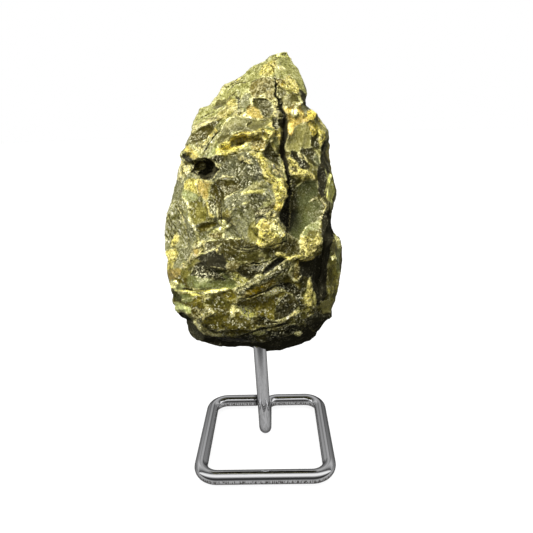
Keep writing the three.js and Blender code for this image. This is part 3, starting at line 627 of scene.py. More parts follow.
def even_stone():
    """The CAD stone as an even mesh that lies on the CAD surface."""
    rough = bmesh.new()
    rough.from_mesh(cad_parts["serpentine_rock"].data)
    bmesh.ops.remove_doubles(rough, verts=rough.verts, dist=MERGED * MM)
    surface = BVHTree.FromBMesh(rough)
    mesh = bpy.data.meshes.new("rough_stone")
    rough.to_mesh(mesh)
    rough.free()
    stone = bpy.data.objects.new("serpentine_stone", mesh)
    bpy.context.scene.collection.objects.link(stone)
    remesh = stone.modifiers.new("even", "REMESH")
    remesh.mode = "VOXEL"
    remesh.voxel_size = VOXEL * MM
    evaluated = stone.evaluated_get(bpy.context.evaluated_depsgraph_get())
    stone.data = bpy.data.meshes.new_from_object(evaluated)
    stone.modifiers.clear()
    bpy.data.meshes.remove(mesh)
    refine(stone.data, surface)
    return stone


def refine(mesh, surface):
    """Makes the half that the photograph shows twice as fine, and lays the mesh on the CAD surface."""
    fine = bmesh.new()
    fine.from_mesh(mesh)
    eye = Vector(EYE * MM)
    front = [face for face in fine.faces if face.normal.dot(eye - face.calc_center_median()) > 0]
    edges = list({edge for face in front for edge in face.edges})
    bmesh.ops.subdivide_edges(fine, edges=edges, cuts=1, use_grid_fill=True)
    bmesh.ops.triangulate(fine, faces=[face for face in fine.faces if len(face.verts) > 4])
    for vertex in fine.verts:
        place, _, _, away = surface.find_nearest(vertex.co)
        if away < VOXEL * MM:
            vertex.co = place
    fine.to_mesh(mesh)
    fine.free()


def read_vectors(mesh, name):
    flat = np.empty(len(mesh.vertices) * 3, np.float32)
    mesh.vertices.foreach_get(name, flat)
    return flat.reshape(-1, 3).astype(float)


def points_of(mesh):
    return read_vectors(mesh, "co") / MM


def normals_of(mesh):
    return read_vectors(mesh, "normal")


def set_points(mesh, points):
    mesh.vertices.foreach_set("co", (points * MM).astype(np.float32).ravel())
    mesh.update()


def unit(vectors):
    return vectors / np.maximum(np.linalg.norm(vectors, axis=1, keepdims=True), 1e-9)


class Neighbours:
    """Averages over each vertex's neighbours."""

    def __init__(self, mesh):
        pairs = np.empty(len(mesh.edges) * 2, np.int32)
        mesh.edges.foreach_get("vertices", pairs)
        self.a, self.b = pairs.reshape(-1, 2).T
        self.count = len(mesh.vertices)
        self.degree = np.bincount(self.a, minlength=self.count) + np.bincount(self.b, minlength=self.count)

    def mean(self, vectors):
        columns = []
        for column in vectors.T:
            total = np.bincount(self.a, column[self.b], self.count)
            total += np.bincount(self.b, column[self.a], self.count)
            columns.append(total / self.degree)
        return np.stack(columns, 1)

    def smoothed(self, vectors, times):
        for _ in range(times):
            vectors = 0.5 * vectors + 0.5 * self.mean(vectors)
        return vectors


# ---- the stone's form ----
# Chips of the whole stone, away from the face that the photograph shows: size, height, seed.
BROAD_CHIPS = [(21.0, 4.2, 11), (8.0, 1.3, 23)]
# Chips all over, as high as each finish has them: size, height, seed.
CHIPS = [(4.6, 1.1, 151), (2.2, 0.55, 163), (1.1, 0.26, 177)]
CHIP_LEVEL = 0.2  # the height in a bowl that leaves a point where it is
# How far the chips' borders wander, as a share of a chip's size, and the octaves of that noise.
BROAD_WANDER = (0.2, 2)
CHIP_WANDER = (0.25, 1)
WANDER_SIZE = 0.6  # of that noise, as a share of a chip's size


def chip_lift(points, chips, reach, octaves):
    """How far chips lift each point."""
    lift = np.zeros(len(points))
    for size, height, seed in chips:
        moved = wandering(points, reach * size, size * WANDER_SIZE, seed, octaves)
        low, _, _ = chipped(moved, size, seed)
        lift += height * (low - CHIP_LEVEL)
    return lift


def underside_fall(column, row):
    """How far down each point still goes for the stone to reach the underside's edge."""
    columns, edge = numbers_of(UNDERSIDE).T
    lowest = np.array([row[np.abs(column - c) < COLUMN_REACH].max() for c in columns])
    lowest, edge = np.interp(column, columns, lowest), np.interp(column, columns, edge)
    lower = np.clip((row - UNDERSIDE_FROM) / np.maximum(lowest - UNDERSIDE_FROM, UNDERSIDE_LEAST), 0, 1)
    return lower * (edge - lowest) * (lowest > UNDERSIDE_FROM + UNDERSIDE_LEAST)


def fit_outline(points):
    """Moves the stone's points, row by row, so that its edges fall on the photograph's outline."""
    spots, depth = pixels_of(points)
    rows, left, right = numbers_of(OUTLINE).T
    top, bottom = spots[:, 1].min(), spots[:, 1].max()
    fall = np.interp(spots[:, 1], (top, bottom), (TOP_ROW - top, BOTTOM_ROW - bottom))
    at = spots[:, 1] + fall
    found = np.full((len(rows), 2), np.nan)
    for index, row in enumerate(rows):
        near = np.abs(at - row) < ROW_REACH
        if near.any():
            found[index] = spots[near, 0].min(), spots[near, 0].max()
    good = ~np.isnan(found[:, 0])
    was_left, was_right = (np.interp(at, rows[good], found[good, k]) for k in range(2))
    now_left, now_right = np.interp(at, rows, left), np.interp(at, rows, right)
    share = (spots[:, 0] - was_left) / (was_right - was_left)
    column = now_left + share * (now_right - now_left)
    fall = fall + underside_fall(column, at)
    aside = column - spots[:, 0]
    return points + (depth / FOCAL)[:, None] * (aside[:, None] * AXES[0] - fall[:, None] * AXES[1])


# A face that the photograph shows where the CAD has a recess: its outline in photograph pixels, the rows of
# its upper and lower edge, and how far off they are, which for the upper one is given as column,distance.
OVERHANG = "204,230 292,230 297,244 292,256 262,264 240,270 222,272 206,269 200,262"
OVERHANG_TOP_ROW = 240
OVERHANG_TOP = "204,143 215,141 225,139.4 235,138 246,136.7 280,136.6 290,138.5 298,140.5"
OVERHANG_FOOT_ROW = 263
OVERHANG_FOOT = 140.8
OVERHANG_EDGE = 4  # pixels within its outline where the face takes over
HIDDEN_BEHIND = 1.2  # a point is hidden when it lies this much farther off than the nearest one


def in_view(points):
    """Which points are not hidden behind others, as seen by the photograph's camera."""
    spots, depth = pixels_of(points)
    cells = np.round(spots).astype(int)
    cells -= cells.min(0)
    nearest = np.full(cells.max(0) + 1, np.inf)
    np.minimum.at(nearest, (cells[:, 0], cells[:, 1]), depth)
    return depth < nearest[cells[:, 0], cells[:, 1]] + HIDDEN_BEHIND


def fill_recess(points, facing):
    spots, depth = pixels_of(points)
    share = ramp(0, OVERHANG_EDGE, inside_depth(spots, numbers_of(OVERHANG))) * in_view(points) * (facing > 0)
    down = np.clip((spots[:, 1] - OVERHANG_TOP_ROW) / (OVERHANG_FOOT_ROW - OVERHANG_TOP_ROW), 0, 1)
    top = np.interp(spots[:, 0], *numbers_of(OVERHANG_TOP).T)
    wanted = top * (1 - down) + OVERHANG_FOOT * down
    nearer = np.maximum(depth - wanted, 0) * share / depth
    return points + (EYE - points) * nearer[:, None]


# ---- the stone's looks ----
LAYERS = ("roughness", "chips", "facets", "blotches", "streaks")  # what FINISHES gives after the colour
EVERYWHERE = slice(None)


class Looks:
    """What the stone's surface is like at each point, and how far it stands out."""

    def __init__(self, count):
        self.colour = np.zeros((count, 3))
        self.layers = {name: np.zeros(count) for name in LAYERS}
        self.lift = np.zeros(count)

    def lay(self, where, share, finish, lift=None, tone=1.0):
        """Lays a finish on points, each by its share, and moves them as far towards the lift."""
        colour, *others = FINISHES[finish]
        self.colour[where] += share[:, None] * (np.array(colour) * tone / 255 - self.colour[where])
        for name, value in zip(LAYERS, others):
            layer = self.layers[name]
            layer[where] += share * (value - layer[where])
        if lift is not None:
            self.lift[where] += share * (lift - self.lift[where])


# What the surface is where no pane is laid: up to which number, the finish and its tone.
GROUND = [(0.27, "dark", 1.1), (0.38, "umber", 1.3), (0.5, "moss", 1.15), (0.62, "olive", 1.05),
          (0.74, "grey", 0.9), (2.0, "pale", 0.85)]
# The ground's large and small bowls: size, how far their borders wander over what size, and seed.
GROUND_BOWLS = [(15.0, 2.5, 6.0, 51), (5.5, 1.0, 2.6, 57)]
GROUND_MIDDLE = 85.0  # the ground is paler above this height and darker below it
GROUND_REACH = 45.0  # how far above or below that height it stops changing
SUMMIT = (126, 134)  # heights over which the top grows pale
FOOT = (58, 48)  # heights over which the foot grows dark
RIND_FROM = (48, 60)  # heights over which the pale rind begins
# Noise over the ground: size and seed.
RIND_BROAD = (11.0, 71)
RIND_FINE = (1.8, 77)
CREAM_RIND = (5.0, 83)
OCHRE_RIND = (6.0, 88)
THIN_LINES = (4.0, 93)
CRACKS = (9.0, 97)


def ground_bowls(points):
    """The ground's bowls, each as chipped gives them."""
    for size, reach, over, seed in GROUND_BOWLS:
        yield chipped(wandering(points, reach, over, seed, 3), size, seed + 10)


def ground_numbers(own, own_2, height):
    """The number by which GROUND is read, from each bowl's own numbers and the height."""
    pick = 0.62 * own[:, 2] + 0.38 * own_2[:, 2]
    pick = pick + 0.3 * np.clip((height - GROUND_MIDDLE) / GROUND_REACH, -1, 1)
    return pick + (ramp(*SUMMIT, height) - 0.5 * ramp(*FOOT, height))


def lay_ground(looks, points, hidden):
    """Lays what the stone is like all over: bowls of several finishes, pale rind on their borders, cracks."""
    height = points[:, 2]
    (low, off, own), (low_2, off_2, own_2) = ground_bowls(points)
    pick = ground_numbers(own, own_2, height)
    floor = -1
    for ceiling, finish, tone in GROUND:
        where = np.flatnonzero((pick >= floor) & (pick < ceiling))
        looks.lay(where, np.ones(len(where)), finish, 0, tone)
        floor = ceiling
    width = 0.3 * noise(points, *RIND_BROAD, 2) + 0.03 + 0.14 * noise(points, *RIND_FINE, 2)
    rind = ramp(0.03, -0.03, off - np.clip(width, 0, 1)) * ramp(*RIND_FROM, height)
    looks.lay(EVERYWHERE, rind, "yellow", 0.3)
    looks.lay(EVERYWHERE, rind * ramp(0.0, 0.2, noise(points, *CREAM_RIND, 2)), "cream", 0.2)
    looks.lay(EVERYWHERE, rind * ramp(0.2, 0.4, noise(points, *OCHRE_RIND, 2)), "ochre", 0.2)
    thin = ramp(0.05, 0.01, off_2) * ramp(0.0, 0.25, noise(points, *THIN_LINES, 2))
    looks.lay(EVERYWHERE, 0.8 * thin, "cream")
    crack = ramp(0.045, 0.0, off) * ramp(0.05, 0.25, noise(points, *CRACKS, 2)) * hidden
    looks.lay(EVERYWHERE, ramp(0.3, 0.7, crack), "black")
    looks.lift += 1.4 * (low - 0.15) + 0.5 * (low_2 - 0.15) - 0.9 * crack


JAGGED = [(0.9, 2.2, 101), (0.6, 0.5, 131)]  # how far a pane's edge wanders, in pixels, over what size, seed
PANE_EDGE = (-0.5, 0.6)  # how deep a point lies in a pane where that begins to show and where it is full
PANE_MARGIN = 2  # pixels round a pane's corners that it may touch
RIM_MIDDLE = -0.3  # how many pixels deep in a pane its thin edge has its middle: just outside it
RIM_HALVES = (0.75, 0.2)  # how far from that middle the edge ends, and up to where it is full
# The thin edge's finishes, how strong each is, and the noise from where it begins to where it is full:
# the pale rim is painted highlight and the umber painted shadow.
PAINTED_RIMS = [("rim", 0.75, (-0.05, 0.3)), ("umber", 0.7, (-0.1, -0.35))]
RIM_NOISE = (2.4, 141)  # size and seed
# Share of a pane's lift by how many pixels deep a point lies. Raised panes are rounded, sunk ones are bowls.
ROUNDED = ((-1, 0.5, 3, 7), (0, 0.3, 0.8, 1.15))
BOWL = ((-1, 0.5, 3, 8), (0, 0.35, 0.85, 1.3))
# How much a point is turned to the camera where a pane begins to show on it and where that is full.
TURNED = (-0.02, 0.14)
TURNED_DARK = (-0.15, 0.05)  # for black and shadow
TURNED_UNDER = (-0.5, -0.25)  # for the panes that go on past the stone's edge in the photograph
UNDERNEATH = ("underside", "under_right")
BREAK_FULL = 0.4  # how far in from a break's sides its finish is full, as a share of half its width


def turn_of(name, finish):
    if name in UNDERNEATH:
        return TURNED_UNDER
    return TURNED_DARK if finish in ("black", "shadow") else TURNED


def lay_pane(looks, spots, reach, corners, finish, tone, lift):
    """Lays one pane. Gives the points that it may touch, and how many pixels deep each lies in it."""
    low, high = corners.min(0) - PANE_MARGIN, corners.max(0) + PANE_MARGIN
    where = np.flatnonzero(((spots > low) & (spots < high)).all(1) & (reach > 0))
    deep = inside_depth(spots[where], corners)
    profile = ROUNDED if lift > 0 else BOWL
    looks.lay(where, ramp(*PANE_EDGE, deep) * reach[where], finish, lift * np.interp(deep, *profile), tone)
    return where, deep


def lay_rim(looks, where, deep, turned, stretches):
    """Lays a pane's thin edge: painted highlight along some stretches and painted shadow along others."""
    edge = ramp(*RIM_HALVES, np.abs(deep - RIM_MIDDLE)) * turned[where]
    for finish, strength, along in PAINTED_RIMS:
        looks.lay(where, strength * edge * ramp(*along, stretches[where]), finish)


def lay_best_face(looks, points, facing):
    """Lays the panes and breaks that the photograph shows, with painted shade and painted highlights over
    them.
    """
    spots, _ = pixels_of(points)
    for reach, size, seed in JAGGED:
        spots = spots + reach * np.stack([noise(points, size, seed + k, 2) for k in range(2)], 1)
    reaches = {turn: ramp(*turn, facing) for turn in (TURNED, TURNED_DARK, TURNED_UNDER)}
    turned = reaches[TURNED]
    stretches = noise(points, *RIM_NOISE, 2)
    for name, (finish, tone, lift, outline) in PANES.items():
        reach = reaches[turn_of(name, finish)]
        where, deep = lay_pane(looks, spots, reach, numbers_of(outline), finish, tone, lift)
        if finish != "black":
            lay_rim(looks, where, deep, turned, stretches)
    for finish, depth, line in BREAKS.values():
        share = line_share(spots, numbers_of(line)) * turned
        where = np.flatnonzero(share > 0)
        looks.lay(where, ramp(0, BREAK_FULL, share[where]), finish)
        looks.lift[where] -= depth * share[where]
    # painted shade and painted highlights: each stretch darkens or brightens the colour under it
    for tone, line in PAINTED_SHADING.values():
        share = ramp(0, 1, line_share(spots, numbers_of(line))) * turned
        looks.colour *= (1 + (tone - 1) * share)[:, None]


# ---- the stone ----
STONE_SHARP = math.radians(38)  # faces that meet at more than this show an edge
PLAIN_ROUNDS = 3  # rounds of smoothing for normals that know nothing of small forms
FORM_ROUNDS = 2  # for normals along which panes stand out
CHIP_ROUNDS = 1  # for normals along which chips stand out
BROAD_ROUNDS = 24  # for the broad surface that a point's height is measured from
HIDDEN = (0.4, -0.1)  # how much a point is turned to the camera where what isn't seen begins and is full
SIDE_ON = (0.3, 0.1)  # how much where panes and chips begin to stand out less, and where least
LESS_SIDE_ON = 0.65
VIEW_PULL = 2  # how much more to the camera than along its normal a point stands out
PULLED = (0, 0.3)  # how much it is turned to the camera where that begins and is full


def carve(mesh, near):
    """Gives the stone its form and outline, as its points, and its looks."""
    points = points_of(mesh)
    plain = unit(near.smoothed(normals_of(mesh), PLAIN_ROUNDS))
    facing = np.sum(plain * unit(EYE - points), axis=1)
    hidden = ramp(*HIDDEN, facing)
    points = points + plain * (hidden * chip_lift(points, BROAD_CHIPS, *BROAD_WANDER))[:, None]
    points = fill_recess(fit_outline(points), facing)
    set_points(mesh, points)
    normals = unit(near.smoothed(normals_of(mesh), FORM_ROUNDS))
    looks = Looks(len(points))
    lay_ground(looks, points, hidden)
    lay_best_face(looks, points, facing)
    towards = unit(normals + VIEW_PULL * unit(EYE - points) * ramp(*PULLED, facing)[:, None])
    side_on = 1 - LESS_SIDE_ON * ramp(*SIDE_ON, np.abs(facing))
    points = points + towards * (looks.lift * side_on)[:, None]
    set_points(mesh, points)
    normals = unit(near.smoothed(normals_of(mesh), CHIP_ROUNDS))
    chips = looks.layers["chips"] * side_on
    points = points + normals * (chips * chip_lift(points, CHIPS, *CHIP_WANDER))[:, None]
    points = fit_outline(points)
    set_points(mesh, points)
    return points, looks


def linear(colour):
    """Colours as seen on a screen, as amounts of light."""
    return np.where(colour <= 0.04045, colour / 12.92, ((colour + 0.055) / 1.055) ** 2.4)


def store(mesh, name, values):
    """Stores one number for each vertex."""
    mesh.attributes.new(name, "FLOAT", "POINT").data.foreach_set("value", values.astype(np.float32))


def store_colour(mesh, name, values):
    filled = np.ones((len(values), 4), np.float32)
    filled[:, :3] = values
    mesh.attributes.new(name, "FLOAT_COLOR", "POINT").data.foreach_set("color", filled.ravel())


def store_looks(mesh, near, points, looks):
    """Stores what the stone's material reads."""
    normals = normals_of(mesh)
    broad = near.smoothed(points, BROAD_ROUNDS)
    store_colour(mesh, "tint", linear(looks.colour))
    for name in ("roughness", "facets", "blotches", "streaks"):
        store(mesh, name, looks.layers[name])
    store(mesh, "ridge", np.sum((points - near.mean(points)) * normals, axis=1))
    store(mesh, "height", np.sum((points - broad) * normals, axis=1))


def shade_smooth(mesh, sharp):
    mesh.polygons.foreach_set("use_smooth", np.ones(len(mesh.polygons), bool))
    mesh.set_sharp_from_angle(angle=sharp)


def make_stone():
    stone = even_stone()
    mesh = stone.data
    near = Neighbours(mesh)
    points, looks = carve(mesh, near)
    store_looks(mesh, near, points, looks)
    shade_smooth(mesh, STONE_SHARP)
    mesh.materials.clear()
    mesh.materials.append(stone_material())
    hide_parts("serpentine_rock")
    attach(stone, "root")
    return stone


# ---- shader nodes ----
class Nodes:
    """Adds nodes to a shader tree, and links what is given as another node's output."""

    def __init__(self, tree):
        self.tree = tree

    def node(self, kind, inputs=None, **settings):
        made = self.tree.nodes.new("ShaderNode" + kind)
        for name, value in settings.items():
            setattr(made, name, value)
        for name, value in (inputs or {}).items():
            self.put(made.inputs[name], value)
        return made

    def put(self, socket, value):
        if isinstance(value, bpy.types.NodeSocket):
            self.tree.links.new(value, socket)
        else:
            socket.default_value = value

    def math(self, kind, *values):
        return self.node("Math", dict(enumerate(values)), operation=kind).outputs[0]

    def product(self, a, b):
        return self.math("MULTIPLY", a, b)

    def total(self, a, b):
        return self.math("ADD", a, b)

    def vector(self, kind, *values, output="Vector"):
        return self.node("VectorMath", dict(enumerate(values)), operation=kind).outputs[output]

    def between(self, value, low, high, to_low=0.0, to_high=1.0):
        """The value, from low to high, brought to what lies from to_low to to_high."""
        inputs = {"Value": value, "From Min": low, "From Max": high, "To Min": to_low, "To Max": to_high}
        return self.node("MapRange", inputs).outputs["Result"]

    def blend(self, share, a, b, kind="MIX"):
        return self.node("Mix", {0: share, 6: a, 7: b}, data_type="RGBA", blend_type=kind).outputs[2]


class Shader(Nodes):
    """The nodes of a new material. Sizes are in millimetres."""

    def __init__(self, name):
        self.material = bpy.data.materials.new(name)
        self.material.use_nodes = True
        super().__init__(self.material.node_tree)

    def attribute(self, name, output="Fac"):
        return self.node("Attribute", attribute_name=name).outputs[output]

    def noise(self, place, size, detail, rough=0.5, swirl=0.0, output="Fac"):
        inputs = {"Vector": place, "Scale": 1 / (size * MM), "Detail": detail}
        inputs.update({"Roughness": rough, "Distortion": swirl})
        return self.node("TexNoise", inputs).outputs[output]

    def cells(self, place, size, **settings):
        return self.node("TexVoronoi", {"Vector": place, "Scale": 1 / (size * MM)}, **settings).outputs

    def finished(self, inputs):
        """The material, once these inputs of its surface are set or linked."""
        surface = self.tree.nodes["Principled BSDF"]
        for name, value in inputs.items():
            self.put(surface.inputs[name], value)
        return self.material


# ---- the stone's material ----
HALF = (0.5, 0.5, 0.5)
BEND = 1.3  # how far the borders of facets and crusts are bent
BEND_SIZE = 1.2
COARSE_FACETS = 1.7
FINE_FACETS = 0.55
COARSE_SLOPE = 0.35  # of the coarse facets beside the fine ones
FACET_SLOPE = 0.75
STREAK_SLANT = math.radians(40)
STREAKS = (0.9, 3.0)  # size and detail
STRETCH = 0.3
BLUE_POWER = 1.7
FLAKE_SIZE = 0.42
FLAKE_STRETCH = 0.4
FLAKE_EDGE = (0.46, 0.34)  # distance from a sliver's middle where it begins and where it is full
CRUST_SIZE = 1.5
CRUST_LINE = (0.16, 0.06)  # distance from a crust's border where its line begins and where it is full
DULL = (0.6, 0.8)  # roughness from which warm areas and pale ridges fade, and where they are gone
BROWN = (0.11, 0.08, 0.008, 1)
WARM = (0.2, 0.165, 0.025, 1)
RIDGE_WEAR_AND_HIGHLIGHT = (0.66, 0.6, 0.27, 1)
DEEP = (0.03, 0.026, 0.006, 1)
# painted shade in the creases of the crusts
CREASE_SHADE = (0.1, 0.07, 0.008, 1)
# painted sparkle highlights, on the stone and on its crusts
SPARKLE_FLECK = (0.8, 0.77, 0.5, 1)
CRUST_SPARKLE_FLECK = (0.85, 0.74, 0.27, 1)
STONE_IOR = 1.56
STONE_TINT = (1, 0.94, 0.58, 1)  # of its gloss
# The stone's noise: size, detail, roughness and swirl.
GRAINS = {
    "mottle": (2.4, 6.0, 0.72, 0.6),
    "fine_grain": (0.4, 2.0, 0.6),
    "warm_areas": (5.0, 3.0, 0.6),
    "broken_ridges": (0.7, 3.0, 0.6),
    "flaky_areas": (3.2, 3.0, 0.6),
    "creased_areas": (1.5, 2.0, 0.6),
    "glinting_areas": (1.1, 2.0, 0.6),
    "uneven_gloss": (0.9, 3.0, 0.6),
    "finest_relief": (0.5, 5.0, 0.6),
}


class StoneShader(Shader):
    """A shader with the stone's small patterns."""

    def __init__(self, name):
        super().__init__(name)
        self.place = self.node("TexCoord").outputs["Object"]
        bend = self.vector("SUBTRACT", self.noise(self.place, BEND_SIZE, 2.0, output="Color"), HALF)
        self.bent_place = self.vector("ADD", self.place, self.vector("MULTIPLY", bend, (BEND * MM,) * 3))

    def grain(self, name, *limits):
        """One of GRAINS, brought from limits to limits."""
        return self.between(self.noise(self.place, *GRAINS[name]), *limits)

    def drawn_out(self, slant, stretch):
        """The place, drawn out along a slant in the upright plane."""
        turned = self.node("Mapping", {"Vector": self.place, "Rotation": (0, slant, 0)}).outputs[0]
        return self.vector("MULTIPLY", turned, (1, 1, stretch))

    def own_numbers(self, cells):
        return self.node("SeparateColor", {0: cells["Color"]}).outputs

    def facets(self, size):
        """Small flat faces of random tilt: each one's three numbers, and the height in millimetres."""
        cells = self.cells(self.bent_place, size)
        tilt = self.vector("SUBTRACT", cells["Color"], HALF)
        offset = self.vector("SUBTRACT", self.bent_place, cells["Position"])
        height = self.vector("DOT_PRODUCT", offset, tilt, output="Value")
        return self.own_numbers(cells), self.math("DIVIDE", height, MM)

    def flakes(self, slant):
        """Small slivers along a slant: how far inside one each point lies, and the sliver's own number."""
        cells = self.cells(self.drawn_out(slant, FLAKE_STRETCH), FLAKE_SIZE)
        return self.between(cells["Distance"], *FLAKE_EDGE), self.own_numbers(cells)[0]

    def times(self, colour, value):
        """The colour made brighter and whiter, or darker and browner."""
        blue = self.math("POWER", value, BLUE_POWER)
        share = self.node("CombineXYZ", {0: value, 1: value, 2: blue}).outputs[0]
        return self.blend(1.0, colour, share, "MULTIPLY")


def mottled(shade, facet_numbers):
    """The tint with blotches, grain, streaks, and each facet's own tone, browner where that is dark."""
    blotches = shade.attribute("blotches")
    mottle = shade.grain("mottle", 0.3, 0.7, -0.5, 0.5)
    mottle = shade.product(mottle, shade.total(blotches, 0.25))
    colour = shade.times(shade.attribute("tint", "Color"), shade.total(mottle, 1.0))
    colour = shade.times(colour, shade.grain("fine_grain", 0.3, 0.7, 0.4, 1.6))
    tone = shade.total(*(shade.between(number, 0, 1, -0.5, 0.5) for number in facet_numbers))
    tone = shade.product(tone, blotches)
    colour = shade.blend(shade.between(tone, -0.15, -0.6, 0.0, 0.7), colour, BROWN)
    colour = shade.times(colour, shade.total(tone, 1.0))
    streaks = shade.noise(shade.drawn_out(STREAK_SLANT, STRETCH), *STREAKS)
    streaks = shade.product(shade.between(streaks, 0.3, 0.7, -0.6, 0.6), shade.attribute("streaks"))
    return shade.times(colour, shade.total(1.0, streaks))


def weathered(shade, colour, glossy):
    """The colour darkened in hollows as painted shade and, where it is glossy, warmer in places and pale
    along sharp ridges as edge wear and painted highlight.
    """
    warm = shade.product(shade.grain("warm_areas", 0.45, 0.65, 0.0, 0.2), glossy)
    colour = shade.blend(warm, colour, WARM)
    # painted shade: darker where the surface lies below its broad form
    colour = shade.times(colour, shade.between(shade.attribute("height"), -0.9, 0.2, 0.35, 1.0))
    # edge wear and painted highlight: paler along sharp ridges
    broken = shade.product(shade.grain("broken_ridges", 0.4, 0.6), glossy)
    ridge = shade.product(shade.between(shade.attribute("ridge"), 0.025, 0.1), broken)
    return shade.blend(shade.product(ridge, 0.8), colour, RIDGE_WEAR_AND_HIGHLIGHT)


def flaked(shade, colour, flaky):
    """The colour with dark slivers, and how bright the pale ones are: painted sparkle highlights."""
    bright = 0.0
    for slant in (STREAK_SLANT, -STREAK_SLANT):
        inside, own = shade.flakes(slant)
        inside = shade.product(inside, flaky)
        deep = shade.product(inside, shade.between(own, 0.38, 0.34))
        colour = shade.blend(shade.math("MINIMUM", deep, 0.8), colour, DEEP)
        bright = shade.math("MAXIMUM", bright, shade.product(inside, shade.between(own, 0.5, 0.75)))
    return colour, bright


def crusted(shade, colour, crusts):
    """The colour with painted shade in the creases round small crusts, and how bright the painted glints
    beside them are.
    """
    edges = shade.cells(shade.bent_place, CRUST_SIZE, feature="DISTANCE_TO_EDGE")
    line = shade.product(shade.between(edges["Distance"], *CRUST_LINE), crusts)
    creases = shade.product(line, shade.grain("creased_areas", 0.48, 0.38))
    glints = shade.product(line, shade.grain("glinting_areas", 0.5, 0.58))
    return shade.blend(shade.product(creases, 0.6), colour, CREASE_SHADE), glints


def relief(shade, coarse_height, fine_height):
    """The normal of the facets and the finest grain."""
    facets = shade.total(shade.product(coarse_height, COARSE_SLOPE), fine_height)
    facets = shade.product(facets, shade.attribute("facets"))
    height = shade.product(facets, FACET_SLOPE)
    height = shade.total(height, shade.grain("finest_relief", 0, 1, 0, 0.14))
    return shade.node("Bump", {"Height": height, "Strength": 1.0, "Distance": MM}).outputs[0]


def stone_material():
    shade = StoneShader("serpentine")
    roughness = shade.attribute("roughness")
    coarse, coarse_height = shade.facets(COARSE_FACETS)
    fine, fine_height = shade.facets(FINE_FACETS)
    colour = mottled(shade, (coarse[0], fine[1]))
    colour = weathered(shade, colour, shade.between(roughness, *DULL, 1.0, 0.0))
    flaky = shade.product(shade.grain("flaky_areas", 0.46, 0.6), shade.attribute("facets"))
    colour, bright = flaked(shade, colour, flaky)
    crusts = shade.between(shade.attribute("blotches"), 0.45, 0.8)
    colour, glints = crusted(shade, colour, crusts)
    colour = shade.times(colour, shade.between(flaky, 0.0, 1.0, 1.0, 0.75))
    # painted sparkle highlights and glints laid into the colour
    sparkle_colour = shade.blend(crusts, SPARKLE_FLECK, CRUST_SPARKLE_FLECK)
    colour = shade.blend(shade.math("MAXIMUM", bright, glints), colour, sparkle_colour)
    uneven = shade.grain("uneven_gloss", 0.3, 0.7, -0.08, 0.1)
    return shade.finished({
        "Base Color": colour,
        "Roughness": shade.total(roughness, uneven),
        "Normal": relief(shade, coarse_height, fine_height),
        "IOR": STONE_IOR,
        "Specular IOR Level": 0.5,
        "Specular Tint": STONE_TINT,
    })


# ---- the wire's material ----
POLISHED = (0.8, 0.8, 0.81, 1)
PAINTED_DARK_REFLECTION = (0.06, 0.06, 0.06, 1)
TICK_REFLECTION = (0.16, 0.15, 0.14, 1)
END_SHADE_COLOUR = (0.015, 0.014, 0.012, 1)
# painted reflection: the wire is darker where it turns away from view
CHROME_EDGE = (0.45, 0.72)  # how far the metal is turned away where its dark edge begins and is full
DRAWN = (0.4, 3.0)  # the slight unevenness of drawn wire: size and detail
# painted reflection of the floor: fine dark ticks across the wire's lower side
TICKS = (0.35, 2.0)  # the fine ticks across the lower side: size and detail
TICK_SQUEEZE = (1, 1, 0.15)  # draws them out upwards
TICKS_BELOW = (0.25, 0.0)  # how upright the metal's normal is where they begin and are full
POST_TICKS = 0.25  # how much of them the post has
POST_REACH = (14 * MM, 18 * MM)  # how far from the middle of the base they grow full


def painted_reflection_ticks(shade, place):
    """How strong the fine dark ticks of painted floor reflection are: on the lower side, and less on the
    post.
    """
    normal = shade.node("NewGeometry").outputs["Normal"]
    below = shade.between(shade.node("SeparateXYZ", {0: normal}).outputs["Z"], *TICKS_BELOW)
    ticks = shade.noise(shade.vector("MULTIPLY", place, TICK_SQUEEZE), *TICKS)
    share = shade.product(below, shade.between(ticks, 0.55, 0.46))
    from_post = shade.vector("LENGTH", shade.vector("MULTIPLY", place, (1, 1, 0)), output="Value")
    return shade.product(share, shade.between(from_post, *POST_REACH, POST_TICKS, 1.0))


def chrome_material():
    shade = Shader("chrome_wire")
    place = shade.node("TexCoord").outputs["Object"]
    drawn = {"Height": shade.noise(place, *DRAWN), "Strength": 0.12, "Distance": 0.1 * MM}
    # painted reflection: darker edges where the metal turns away from view
    aslant = shade.node("LayerWeight", {"Blend": 0.5}).outputs["Facing"]
    colour = shade.blend(shade.between(aslant, *CHROME_EDGE), POLISHED, PAINTED_DARK_REFLECTION)
    # painted reflection of the floor
    colour = shade.blend(painted_reflection_ticks(shade, place), colour, TICK_REFLECTION)
    return shade.finished({
        # painted shade by the free end
        "Base Color": shade.blend(shade.attribute("end_shade"), colour, END_SHADE_COLOUR),
        "Metallic": 1,
        "Roughness": 0.0,
        "Normal": shade.node("Bump", drawn).outputs[0],
    })


# ---- the wire stand, one bent rod ----
ROD = 4.8
BASE_SIDE = 50.8
CORNER_RADIUS = 6.5
FREE_END = -3.7
SHADED_END = 2.2  # how much of the rod beside its free end is darkened: painted shade, and the dark cut end
SHADE_FADE = 0.1  # over what length that painted shade fades out
END_SLACK = 0.01  # how far past its cut end a point of the rod may seem to lie
POST_AT = (-0.1, 1)
POST_BEND = 5
POST_LEAN = -1.4
POST_TOP = 50
ROD_SIDES = 48
BEND_STATIONS = 24
END_ROUNDING = ((0.0, 0.86), (0.12, 0.95), (0.35, 1.0))  # along the rod from a cut end, share of the radius
WIRE_SHARP = math.radians(50)


